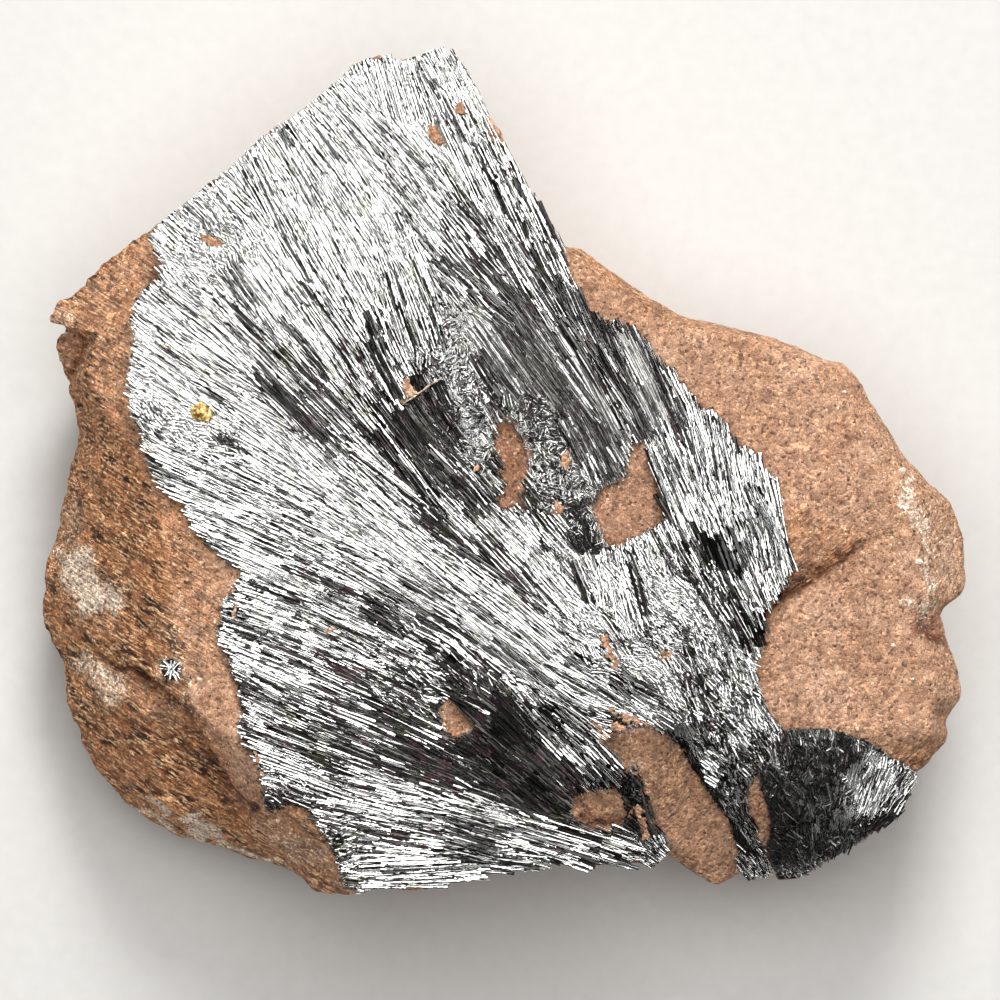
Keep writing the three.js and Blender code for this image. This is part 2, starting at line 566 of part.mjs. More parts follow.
function notchBlock() {
  const [long, wide] = [NOTCH.size[1], NOTCH.size[0]];
  const block = new THREE.BoxGeometry(long, wide, 20).translate(0, 0, 10);
  block.rotateX(radians(NOTCH.tilt)).rotateZ(radians(NOTCH.turn));
  return solidFrom(block.translate(...NOTCH.at, NOTCH.floor));
}

function hostRock() {
  let rock = rockBlank();
  for (const flat of BREAKS) rock = rock.subtract(beyond(flat));
  rock = rock.subtract(scoop()).subtract(scarpWedge()).subtract(notchBlock());
  const cavity = slab(seatHeight, () => SKY);
  const holes = CRUST_WINDOWS.map((w) => grown(w, -CLEARANCE));
  rock = rock.subtract(prism(grown(CRUST_OUTLINE, CLEARANCE), holes).intersect(cavity));
  return rock.subtract(prism(grown(CORNER_OUTLINE, CLEARANCE)).intersect(cavity));
}

// ---------------------------------------------------------------- main crust

function crustRidges() {
  const found = [];
  const row = BLADE_SPACING * Math.sqrt(3 / 4);
  for (let j = -8; j <= 8; j++)
    for (let i = -8; i <= 8; i++) {
      const x = (i + (j % 2 ? 0.5 : 0) + 0.5 * (hash(i, j, 3) - 0.5)) * BLADE_SPACING;
      const y = (j + 0.5 * (hash(i, j, 4) - 0.5)) * row;
      if (!inside(x, y, CRUST_OUTLINE)) continue;
      const width = BLADE_WIDTH * mix(0.75, 1.2, hash(i, j, 5));
      const crest = BLADE_CREST * mix(0.6, 1.3, hash(i, j, 6));
      const lean = mix(-0.7, 0.7, hash(i, j, 7));
      found.push(ridge(stationsThrough(x, y), width, crest, BLADE_ROOT, lean));
    }
  return found;
}

function inside(x, y, outline) {
  let within = false;
  outline.forEach(([ax, ay], i) => {
    const [bx, by] = outline[(i + 1) % outline.length];
    if (ay > y !== by > y && x < ax + ((y - ay) / (by - ay)) * (bx - ax)) within = !within;
  });
  return within;
}

function bundleGap({ at: [x, y], heading, length, width, depth }) {
  const block = new THREE.BoxGeometry(length, width, 6).translate(0, 0, 3);
  block.rotateX(radians(6)).rotateZ(radians(heading));
  return solidFrom(block.translate(x, y, crustTop(x, y) - depth));
}

function mainCrust() {
  const body = slab(
    (x, y) => seatHeight(x, y) + CLEARANCE,
    (x, y) => crustTop(x, y) - BLADE_CREST * 0.5,
  );
  let crust = body;
  for (const blades of crustRidges()) crust = crust.add(blades);
  for (const gap of BUNDLE_GAPS) crust = crust.subtract(bundleGap(gap));
  return crust.intersect(prism(CRUST_OUTLINE, CRUST_WINDOWS)).subtract(ochrePit());
}

// ---------------------------------------------------------------- corner spray

function cornerFan() {
  const body = slab((x, y) => seatHeight(x, y) + CLEARANCE, (x, y) => crustTop(x, y) - 0.4);
  const [rx, ry] = CORNER_ROOT;
  const ridges = Array.from({ length: FAN_BLADES }, (_, i) => {
    const heading = radians(mix(CORNER_SPRAY.first, CORNER_SPRAY.last, (i + 0.5) / FAN_BLADES));
    const stations = [0, 0.3, 0.62, 1].map((share) => {
      const reach = mix(CORNER_SPRAY.inner, CORNER_SPRAY.outer * mix(0.85, 1.05, hash(i, 8)), share);
      const [x, y] = [rx + Math.cos(heading) * reach, ry + Math.sin(heading) * reach];
      const dome = 0.9 * Math.sin(Math.PI * Math.min(1, share * 0.8 + 0.1));
      return { x, y, z: crustTop(x, y) + dome, heading };
    });
    return ridge(stations, 3.3, 0.2, 1.5, mix(-0.5, 0.5, hash(i, 9)));
  });
  const joined = ridges.reduce((fan, blades) => fan.add(blades), body);
  return joined.intersect(prism(CORNER_OUTLINE));
}

// ---------------------------------------------------------------- small pieces

// Height of a solid's upper surface at a place.
function heightOn(solid, x, y) {
  const target = new THREE.Mesh(geometryFrom(solid));
  const ray = new THREE.Raycaster(new THREE.Vector3(x, y, SKY), new THREE.Vector3(0, 0, -1));
  return ray.intersectObject(target)[0].point.z;
}

// The rosette's plug, grown on every side for the pit that takes it.
function rosettePlug(z, extra) {
  const r = ROSETTE.radius * 0.72 + extra;
  const plug = new THREE.CylinderGeometry(r, r * 0.8, ROSETTE.depth + extra + 1, 12);
  plug.rotateX(Math.PI / 2).translate(0, 0, (1 - ROSETTE.depth - extra) / 2);
  return solidFrom(plug.translate(...ROSETTE.at, z));
}

function smallRosette(z) {
  let rosette = rosettePlug(z, 0);
  for (let i = 0; i < ROSETTE.blades; i++) {
    const blade = new THREE.ConeGeometry(0.36, ROSETTE.radius * mix(0.9, 1.2, hash(i, 11)), 4);
    blade.translate(0, ROSETTE.radius * 0.5, 0).rotateX(mix(0.5, 0.9, hash(i, 12)));
    blade.rotateZ((i / ROSETTE.blades) * 2 * Math.PI);
    rosette = rosette.add(solidFrom(blade.translate(...ROSETTE.at, z + 0.9)));
  }
  return rosette;
}

function ochreBody(extra) {
  const [a, b, c] = OCHRE.size.map((s) => s + extra);
  const grain = new THREE.IcosahedronGeometry(1, 1);
  const position = grain.attributes.position;
  const point = new THREE.Vector3();
  for (let i = 0; i < position.count; i++) {
    point.fromBufferAttribute(position, i);
    const lump = 1 + 0.12 * noise(point.x * 2, point.y * 2, point.z * 2);
    position.setXYZ(i, point.x * a * lump, point.y * b * lump, point.z * c * lump);
  }
  const [x, y] = OCHRE.at;
  return grain.rotateZ(OCHRE.turn).translate(x, y, crustTop(x, y) + 0.1);
}

const ochrePit = () => solidFrom(ochreBody(CLEARANCE * 1.15));
const ochreGrain = () => solidFrom(ochreBody(0));

// ---------------------------------------------------------------- specimen

function piece(name, solid, finish) {
  const mesh = new THREE.Mesh(geometryFrom(solid), finish);
  mesh.name = name;
  return mesh;
}

const bareRock = hostRock();
const rosetteHeight = heightOn(bareRock, ...ROSETTE.at);

const specimen = new THREE.Group();
specimen.name = "pyrolusite_specimen";
specimen.add(
  piece("host_rock", bareRock.subtract(rosettePlug(rosetteHeight, CLEARANCE)), ROCK_FINISH),
  piece("main_crust", mainCrust(), CRUST_FINISH),
  piece("corner_fan", cornerFan(), CORNER_FINISH),
  piece("small_rosette", smallRosette(rosetteHeight), CRUST_FINISH),
  piece("ochre_grain", ochreGrain(), OCHRE_FINISH),
);

// The origin goes under the middle of the whole specimen's box.
const box = new THREE.Box3().setFromObject(specimen);
const middle = box.getCenter(new THREE.Vector3());
specimen.position.set(-middle.x, -middle.y, -box.min.z);

export default specimen;
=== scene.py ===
"""Dresses the pyrolusite specimen: broken sandstone under a crust of steel-grey blades.

The crust and the corner spray are built as they grew, from thousands of thin blades in sheaves that
follow the run of the spray, over a dark bed that keeps the form of the solid below. The sandstone is
the solid itself, weathered at the scale of its lumps, ledges and grains.
"""

import json
import logging
import math
from collections.abc import Callable, Sequence
from dataclasses import dataclass, field, replace
from enum import Enum
from functools import partial
from typing import Any

import bmesh
import bpy
import numpy as np
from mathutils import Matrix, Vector

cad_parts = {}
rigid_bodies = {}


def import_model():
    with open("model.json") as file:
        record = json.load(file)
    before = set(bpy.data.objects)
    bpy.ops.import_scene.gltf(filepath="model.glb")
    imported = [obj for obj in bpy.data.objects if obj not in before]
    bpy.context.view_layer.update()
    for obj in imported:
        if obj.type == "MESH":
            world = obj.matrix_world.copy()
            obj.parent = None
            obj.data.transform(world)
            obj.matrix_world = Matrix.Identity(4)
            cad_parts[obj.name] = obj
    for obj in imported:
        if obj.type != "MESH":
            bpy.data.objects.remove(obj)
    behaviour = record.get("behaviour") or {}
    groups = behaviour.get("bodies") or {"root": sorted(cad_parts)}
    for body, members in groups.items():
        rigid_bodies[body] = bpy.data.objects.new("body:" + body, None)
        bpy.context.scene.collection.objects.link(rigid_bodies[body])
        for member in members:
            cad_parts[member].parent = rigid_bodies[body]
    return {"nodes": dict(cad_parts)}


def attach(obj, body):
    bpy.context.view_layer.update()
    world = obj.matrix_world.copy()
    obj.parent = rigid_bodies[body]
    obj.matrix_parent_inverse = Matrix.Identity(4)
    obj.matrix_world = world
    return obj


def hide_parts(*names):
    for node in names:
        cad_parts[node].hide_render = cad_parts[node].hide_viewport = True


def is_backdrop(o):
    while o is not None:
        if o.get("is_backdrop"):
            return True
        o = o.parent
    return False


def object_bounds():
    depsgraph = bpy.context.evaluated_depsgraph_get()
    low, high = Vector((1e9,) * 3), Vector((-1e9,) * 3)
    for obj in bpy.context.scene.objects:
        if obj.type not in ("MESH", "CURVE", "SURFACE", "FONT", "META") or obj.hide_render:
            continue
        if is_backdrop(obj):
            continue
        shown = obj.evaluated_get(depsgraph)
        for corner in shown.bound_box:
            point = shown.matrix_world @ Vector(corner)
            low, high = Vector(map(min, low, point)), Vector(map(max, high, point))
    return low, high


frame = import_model()
cad_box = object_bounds()

log = logging.getLogger("specimen")

MM = 0.001
# Each blade is a three-sided bar.
BAR_CORNERS = 6


# ------------------------------------------------------------------ colours and nodes

# Kinds of node and settings that come back often.
MATH, VECTOR_MATH, MIX = "ShaderNodeMath", "ShaderNodeVectorMath", "ShaderNodeMix"
RANGE, RAMP, NOISE = "ShaderNodeMapRange", "ShaderNodeValToRGB", "ShaderNodeTexNoise"
COMBINE, SEPARATE = "ShaderNodeCombineXYZ", "ShaderNodeSeparateXYZ"
ATTRIBUTE, STORE = "GeometryNodeInputNamedAttribute", "GeometryNodeStoreNamedAttribute"
RANDOM = "FunctionNodeRandomValue"
PLUS, LESS, TIMES, OVER, LEAST, MOST, SCALED = (
    {"operation": name}
    for name in ("ADD", "SUBTRACT", "MULTIPLY", "DIVIDE", "MINIMUM", "MAXIMUM", "SCALE")
)
OVERLAID, SHADED = ({"data_type": "RGBA", "blend_type": name} for name in ("MIX", "MULTIPLY"))
NUMBER, VECTOR, WHOLE = ({"data_type": name} for name in ("FLOAT", "FLOAT_VECTOR", "INT"))
ON_POINTS = {"domain": "POINT"}

Add = Callable[..., bpy.types.Node]


def linear(hex_colour: str) -> tuple[float, float, float, float]:
    """Turns an sRGB hex colour into the linear colour that a shader takes.

    Args:
        hex_colour: Six hex digits after a hash, such as "#cea182".

    Returns:
        Linear red, green and blue, and an alpha of one.
    """
    parts = [int(hex_colour[i : i + 2], 16) / 255 for i in (1, 3, 5)]
    made = [p / 12.92 if p <= 0.04045 else ((p + 0.055) / 1.055) ** 2.4 for p in parts]
    return (*made, 1.0)


def add(
    tree: bpy.types.NodeTree,
    kind: str,
    settings: dict[str, Any] | None = None,
    inputs: dict[str | int, Any] | tuple[Any, ...] = (),
) -> bpy.types.Node:
    """Adds a node with its settings, values and links.

    Args:
        tree: The shader or geometry tree to add to.
        kind: The node's type name.
        settings: The node's own properties. Those of a ramp may hold its stops, as places and hex
            colours.
        inputs: What goes into the inputs, in order or by name or place. A node stands for its first
            output in use, and a hex colour for the linear colour.

    Returns:
        The new node.
    """
    made = tree.nodes.new(kind)
    for name, value in (settings or {}).items():
        if name != "stops":
            setattr(made, name, value)
            continue
        band = made.color_ramp
        while len(band.elements) < len(value):
            band.elements.new(0.5)
        for element, (place, colour) in zip(band.elements, value):
            element.position = place
            element.color = linear(colour)
    for name, value in (inputs if isinstance(inputs, dict) else dict(enumerate(inputs))).items():
        if isinstance(value, bpy.types.Node):
            value = next(output for output in value.outputs if output.enabled)
        if isinstance(value, bpy.types.NodeSocket):
            tree.links.new(value, made.inputs[name])
        elif isinstance(value, str) and value.startswith("#"):
            made.inputs[name].default_value = linear(value)
        else:
            made.inputs[name].default_value = value
    return made


def started(name: str) -> tuple[bpy.types.Material, Add, bpy.types.NodeSocket]:
    """Starts a finish.

    Args:
        name: The material's name.

    Returns:
        The material, the way to add nodes to it, and the places of points on the object.
    """
    made = bpy.data.materials.new(name)
    made.use_nodes = True
    made.node_tree.nodes.clear()
    node = partial(add, made.node_tree)
    return made, node, node("ShaderNodeTexCoord").outputs["Object"]


def surfaced(node: Add, looks: dict[str, Any], relief: dict[str, Any]) -> None:
    """Ends a finish with its relief and its shader.

    Args:
        node: The way to add nodes to it.
        looks: The shader's inputs.
        relief: The inputs of its bump.
    """
    bump = node("ShaderNodeBump", {}, relief)
    shader = node("ShaderNodeBsdfPrincipled", {}, {**looks, "Normal": bump})
    node("ShaderNodeOutputMaterial", {}, {"Surface": shader})


# ------------------------------------------------------------------ meshes


def placed(name: str, data: bpy.types.ID) -> bpy.types.Object:
    """Makes an object in the scene.

    Args:
        name: The object's name.
        data: Its mesh, light or camera.

    Returns:
        The object.
    """
    made = bpy.data.objects.new(name, data)
    bpy.context.scene.collection.objects.link(made)
    return made


def merged_copy(node: str, name: str) -> bpy.types.Object:
    """Copies a solid's mesh to a new object, with its corners merged.

    Args:
        node: The solid's node.
        name: The new object's name.

    Returns:
        The new object, in the scene.
    """
    mesh = frame["nodes"][node].data.copy()
    mesh.name = name
    mesh.materials.clear()
    work = bmesh.new()
    work.from_mesh(mesh)
    bmesh.ops.remove_doubles(work, verts=work.verts, dist=1e-7)
    work.to_mesh(mesh)
    work.free()
    return placed(name, mesh)


def settle(piece: bpy.types.Object) -> None:
    """Applies every modifier, so that the piece is one plain mesh.

    Args:
        piece: The object, whose mesh is replaced.
    """
    evaluated = piece.evaluated_get(bpy.context.evaluated_depsgraph_get())
    mesh = bpy.data.meshes.new_from_object(evaluated)
    old = piece.data
    piece.modifiers.clear()
    piece.data = mesh
    bpy.data.meshes.remove(old)
    mesh.name = piece.name


def remesh(piece: bpy.types.Object, voxel: float) -> None:
    """Rebuilds a closed mesh from even squares.

    Args:
        piece: The object.
        voxel: The squares' size in metres.
    """
    block = piece.modifiers.new("even", "REMESH")
    block.mode = "VOXEL"
    block.voxel_size = voxel
    settle(piece)


def rows(items: Any, name: str) -> np.ndarray:
    """Reads a vector from each vertex or each normal of a mesh.

    Args:
        items: The mesh's vertices or normals.
        name: What to read.

    Returns:
        Rows of x, y and z.
    """
    flat = np.empty(len(items) * 3, dtype=np.float32)
    items.foreach_get(name, flat)
    return flat.reshape(-1, 3).astype(np.float64)


def surface_of(mesh: bpy.types.Mesh) -> tuple[np.ndarray, np.ndarray]:
    """Returns the places of a mesh's vertices, in millimetres, and the ways they face."""
    return rows(mesh.vertices, "co") / MM, rows(mesh.vertex_normals, "vector")


def move(mesh: bpy.types.Mesh, where: np.ndarray) -> None:
    """Moves a mesh's vertices to places given in millimetres."""
    mesh.vertices.foreach_set("co", (where * MM).astype(np.float32).ravel())
    mesh.update()


def store(mesh: bpy.types.Mesh, name: str, values: np.ndarray) -> None:
    """Stores one number or one vector for each vertex.

    Args:
        mesh: The mesh.
        name: The attribute's name.
        values: A column of numbers, or rows of x, y and z.
    """
    vector = values.ndim == 2
    layer = mesh.attributes.new(name, "FLOAT_VECTOR" if vector else "FLOAT", "POINT")
    layer.data.foreach_set("vector" if vector else "value", values.astype(np.float32).ravel())


def finish_piece(
    piece: bpy.types.Object, node: str, material: bpy.types.Material, smooth: bool
) -> None:
    """Dresses a finished mesh and joins it to the frame.

    Args:
        piece: The object, already in place.
        node: The solid that it stands for.
        material: The finish.
        smooth: Shades the faces smooth.
    """
    mesh = piece.data
    mesh.materials.clear()
    mesh.materials.append(material)
    mesh.polygons.foreach_set("use_smooth", np.full(len(mesh.polygons), smooth))
    mesh.polygons.foreach_set("material_index", np.zeros(len(mesh.polygons), dtype=np.int32))
    mesh.update()
    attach(piece, "root")
    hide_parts(node)
    mesh.calc_loop_triangles()
    log.info("%s: %d triangles", piece.name, len(mesh.loop_triangles))


# ------------------------------------------------------------------ listed marks


@dataclass(frozen=True)
class Streak:
    """A band between two places, in millimetres, that moves a value towards its own.

    Its rim fades over a share of its radius, called its edge.
    """

    start: tuple[float, float]
    end: tuple[float, float]
    radius: float
    value: float = 1.0
    strength: float = 1.0
    edge: float = 1.0

    def cover(self, x: np.ndarray, y: np.ndarray) -> np.ndarray:
        """Measures how far the band covers each place, from 0 to 1.

        Args:
            x: Places across, in millimetres.
            y: Places along, in millimetres.

        Returns:
            The cover, before the strength.
        """
        (ax, ay), (bx, by) = self.start, self.end
        dx, dy = bx - ax, by - ay
        share = np.clip(((x - ax) * dx + (y - ay) * dy) / max(dx * dx + dy * dy, 1e-9), 0, 1)
        away = np.hypot(x - ax - share * dx, y - ay - share * dy) / self.radius
        return np.clip((1 - away) / self.edge + 0.5, 0, 1)


@dataclass(frozen=True)
class Facet:
    """A patch with straight sides, in millimetres, that moves a value towards its own.

    Its corners run anticlockwise and bulge everywhere. Its rim fades over the width of its edge.
    """

    corners: tuple[tuple[float, float], ...]
    value: float = 1.0
    strength: float = 1.0
    edge: float = 0.3

    def cover(self, x: np.ndarray, y: np.ndarray) -> np.ndarray:
        """Measures how far the patch covers each place, from 0 to 1.

        Args:
            x: Places across, in millimetres.
            y: Places along, in millimetres.

        Returns:
            The cover, before the strength.
        """
        inside = np.full(x.shape, np.inf)
        for (ax, ay), (bx, by) in zip(self.corners, (*self.corners[1:], self.corners[0])):
            dx, dy = bx - ax, by - ay
            inside = np.minimum(inside, ((y - ay) * dx - (x - ax) * dy) / math.hypot(dx, dy))
        return np.clip(inside / self.edge + 0.5, 0, 1)


Marks = tuple[Streak | Facet, ...]


def marks(*given: tuple[Any, ...]) -> Marks:
    """Makes streaks and facets from short rows, in millimetres.

    Args:
        given: For a streak, x and y of both ends and the radius; for a facet, the corners. The
            value, the strength and the edge follow, where they aren't the usual ones.

    Returns:
        The marks, in the same order.
    """
    return tuple(
        Facet(*row) if isinstance(row[0], tuple) else Streak(row[:2], row[2:4], *row[4:]) for row in given
    )


def laid(x: np.ndarray, y: np.ndarray, ground: float, layers: Sequence[Streak | Facet]) -> np.ndarray:
    """Lays marks over an even ground, the later over the earlier.

    Args:
        x: Places across, in millimetres.
        y: Places along, in millimetres.
        ground: The value where no mark reaches.
        layers: The marks.

    Returns:
        The value at each place.
    """
    value = np.full(x.shape, ground)
    for mark in layers:
        value += (mark.value - value) * mark.strength * mark.cover(x, y)
    return value


def cloud(u: np.ndarray, v: np.ndarray, seed: int, period: int = 128) -> np.ndarray:
    """Draws smooth random values, about one unit apart.

    Args:
        u: Places one way.
        v: Places the other way.
        seed: The choice of values.
        period: Where the values start again.

    Returns:
        Values from -1 to 1.
    """
    table = np.random.default_rng(seed).uniform(-1, 1, (period, period))
    i, j = np.floor(u).astype(int), np.floor(v).astype(int)
    f, g = u - i, v - j
    f, g = f * f * (3 - 2 * f), g * g * (3 - 2 * g)

    def at(di: int, dj: int) -> np.ndarray:
        """Reads the table, so many steps on."""
        return table[(i + di) % period, (j + dj) % period]

    low = at(0, 0) * (1 - f) + at(1, 0) * f
    high = at(0, 1) * (1 - f) + at(1, 1) * f
    return low * (1 - g) + high * g


def ragged(x: np.ndarray, y: np.ndarray, amount: float, size: float) -> tuple[np.ndarray, np.ndarray]:
    """Shifts places a little at random, so that what is laid there has a ragged rim.

    Args:
        x: Places across, in millimetres.
        y: Places along, in millimetres.
        amount: The largest shift in millimetres.
        size: The size of the rim's teeth in millimetres.

    Returns:
        The shifted places.
    """
    u, v = x / size, y / size
    return x + amount * cloud(u, v, 1), y + amount * cloud(u, v, 2)


def around(x: np.ndarray, y: np.ndarray, away: float) -> list[tuple[np.ndarray, np.ndarray]]:
    """Lists eight places around each place.

    Args:
        x: Places across, in millimetres.
        y: Places along, in millimetres.
        away: How far the eight stand off, in millimetres.

    Returns:
        The places, one way at a time.
    """
    angles = np.linspace(0, 2 * math.pi, 8, endpoint=False)
    return [(x + away * np.cos(angle), y + away * np.sin(angle)) for angle in angles]


# Heading of the blades at places on the crust: x and y in millimetres, and degrees from +X to +Y.
GRAIN = [
    (-35, 17, -38), (-30, 26, -45), (-22, 33, -57), (-18, 36, -50), (-10, 40, -74), (-4, 40, -60),
    (-20, 25, -63), (-10, 19, -70), (-7, 15, -76), (-13, 32, -44), (-2, 21, -47), (-5, 16, -36),
    (0, 32, -66), (4, 16, -58), (9, 16, -68), (16, 7, -66), (-25, 14, -44), (-32, 10, -33),
    (-20, 7, -45), (-34, 4, -30), (-28, -2, -23), (-8, 3, -54), (-3, -5, -45), (-12, -3, -36),
    (4, -9, -50), (-5, -11, -32), (-20, -9, -24), (-26, -15, -18), (6, -18, -34), (11, -9, -76),
    (16, -1, -68), (24, -1, -82), (19, -9, -60), (24, -12, -68), (18, -14, -38), (20, -22, -60),
    (19, -30, -52), (24, -29, -60), (-25, -23, -26), (-17, -25, -22), (-7, -23, -28), (0, -23, -44),
    (6, -26, -48), (0, -30, -40), (-10, -33, -12), (0, -35, -16), (10, -38, -18), (-14, -40, 0),
    (-5, -39, 4), (13, -33, -60),
    (-16, 30, -57), (-24, 20, -58), (-17, 14, -56), (-28, 6, -29), (-14, 2, -46), (-8, 10, -66),
    (3, 24, -66), (6, 11, -52), (14, 3, -62), (12, -14, -54), (-16, -16, -26), (-22, -29, -20),
    (13, -20, -30), (21, -16, -50), (8, -23, -12), (-12, -28, -20), (22, 4, -78),
]


def heading_at(x: np.ndarray, y: np.ndarray) -> np.ndarray:
    """Reads the run of the blades, nearest places first.

    Headings are averaged by their doubled angle, because a blade has no front end.

    Args:
        x: Places across, in millimetres.
        y: Places along, in millimetres.

    Returns:
        Headings in radians, from +X to +Y, all within a quarter turn of each other.
    """
    cosine, sine = np.zeros(x.shape), np.zeros(x.shape)
    for gx, gy, degrees in GRAIN:
        weight = 1 / ((x - gx) ** 2 + (y - gy) ** 2 + 0.5) ** 2
        cosine += weight * math.cos(2 * math.radians(degrees))
        sine += weight * math.sin(2 * math.radians(degrees))
    return np.arctan2(sine, cosine) / 2


def bundle_at(x: np.ndarray, y: np.ndarray) -> tuple[np.ndarray, np.ndarray]:
    """Places each point along and across the bundle it belongs to.

    Args:
        x: Places across, in millimetres.
        y: Places along, in millimetres.

    Returns:
        Millimetres along and across, from the middle of the bundle, with a shift of its own.
    """
    nearest = np.zeros(x.shape, dtype=int)
    least = np.full(x.shape, np.inf)
    for number, (gx, gy, _) in enumerate(GRAIN):
        away = np.hypot(x - gx, y - gy)
        nearest = np.where(away < least, number, nearest)
        least = np.minimum(least, away)
    middles = np.array([(gx, gy) for gx, gy, _ in GRAIN], dtype=float)[nearest]
    heading = heading_at(x, y)
    dx, dy = x - middles[..., 0], y - middles[..., 1]
    along = dx * np.cos(heading) + dy * np.sin(heading)
    across = dy * np.cos(heading) - dx * np.sin(heading)
    return along + 37.0 * nearest, across + 11.0 * nearest


# How bright the blades stand, partly soot and partly painted sheen and painted shade: 1 where nearly all are
# clean and painted bright, as if turned to the light, 0 where all are painted dark as sooty.
SOOT_AND_PAINTED_SHEEN = marks(
    (-20, 25, -10, 38, 12, 1.02), (-33, 14, -14, 10, 10, 0.97), (-34, 4, 12, -19, 5.5, 1.15),
    (-2, -6, 8, -13, 2.6, 1.0), (-26, -14, -8, -20, 7, 0.72), (-22, -33, 10, -37, 5, 0.72),
    (-1, 22, 4, 28, 6, 0.68), (-14, 15.6, -11.6, 8.6, 2.4, 0.66), (-36, 4, -31, -1, 2.6, 0.84),
    (-25.6, 1, -21, -2, 2.2, 0.86), (-13.6, 11.6, -11.4, 7.6, 2.2, 0.5), (-15, 1.4, -7, -2.4, 2.4, 0.56),
    (-7, -5.2, 3, -11.6, 1.8, 0.46), (-27.4, -17, -26, -24, 1.4, 0.6), (-25, -23.4, -17, -26.6, 2.2, 0.6),
    # the smooth dark field right of the middle, and the stepped bundles beside it
    (-4, 15, 9, 12, 5, 0.42), (2, 11, 10, 5, 5.2, 0.06), (6, 16, 14, 8, 3, 0.24),
    (12.6, 7.6, 18, 3, 1.9, 0.62), (-3, 12, -5, 4, 3, 0.35), (-9, 6.6, -3, 0, 3.2, 0.02, 1.0, 0.4),
    (-1, 0, 8, -5, 3, 0.45),
    # the bundle gap left of the middle
    (-21.6, 11.2, -12, 2, 1.8, 0.5, 0.8),
    # the dark wedge below the bright band
    (-22, -7, -6, -15, 2, 0.76, 0.7), (-23, -14.6, -12, -16, 1.6, 0.84),
    (-15, -13.4, -11.6, -16, 1.6, 1.0), (-9.5, -13.6, -5.4, -17.2, 1.6, 0.6, 0.8),
    (-12, -15.6, -2, -22, 2.2, 0.62), (-4.8, -18.4, -1, -22, 1.8, 0.3), (-5, -22, 2, -25, 2.4, 0.34),
    (-3.4, -25, 5, -30, 3.0, -0.1), (-8.4, -28.2, 6, -32.4, 2.6, -0.05),
    (5.8, -27.4, 9.6, -31.6, 1.4, 0.6), (-15, -24, -8.2, -26.4, 2.3, 0.14, 0.9),
    (-16.6, -29.4, -11.2, -31.2, 1.6, 0.86), (-2, -35, 15, -38, 1.4, 0.78),
    (-16, -19, -9, -21, 2, 0.4, 0.6), (8, -24, 11, -27, 1.8, 0.38),
    # right side
    (16, -5, 22, -12, 3, 0.68), (19, -9, 23, -13, 2, 0.36), (19.4, -2.0, 24.0, -8.6, 2.0, 1.1),
    (22, 4, 27, -4, 2.4, 0.88), (14, -14, 22, -18, 4, 1.1), (8, -11, 13, -14, 3, 1.15),
    (18, -19, 27, -28, 4, 0.6), (19, -27, 25, -39, 2, 0.55), (12.6, -29.6, 13.8, -37.6, 1, 0.35),
    (-21, -8.5, -18, -10, 1.4, 0.78, 0.7),
    # sparkling crumbs on the spine between the windows
    (-4.4, 16.8, -1.2, 13, 1.9, 0.8), (-5, 13, -3, 3, 1.9, 0.6), (3.4, 4.6, 6, -5, 2.4, 0.44),
    (7.2, -3.4, 9.2, -8.4, 1.0, 0.0),
    # painted bright lines, and painted shade in the hollows among the chips of the right side
    (10.0, -16.0, 12.2, -22.0, 1.0, 0.6, 0.8), (20.4, -22.0, 23.4, -27.0, 1.6, 0.42, 0.8),
    (14.8, -18.4, 18.1, -25.4, 0.7, 1.3), (20.1, -17.8, 24.1, -26.8, 0.45, 1.3),
    (14.6, -15.0, 15.0, -17.4, 0.5, 0.0), (12.6, -11.2, 13.2, -12.0, 0.4, 0.1),
    # the upset corner beside the near sandstone
    (-18.5, -33, -15, -39.5, 2.2, 0.5), (-22.8, -32.2, -22.2, -33.6, 0.9, 0.1),
)
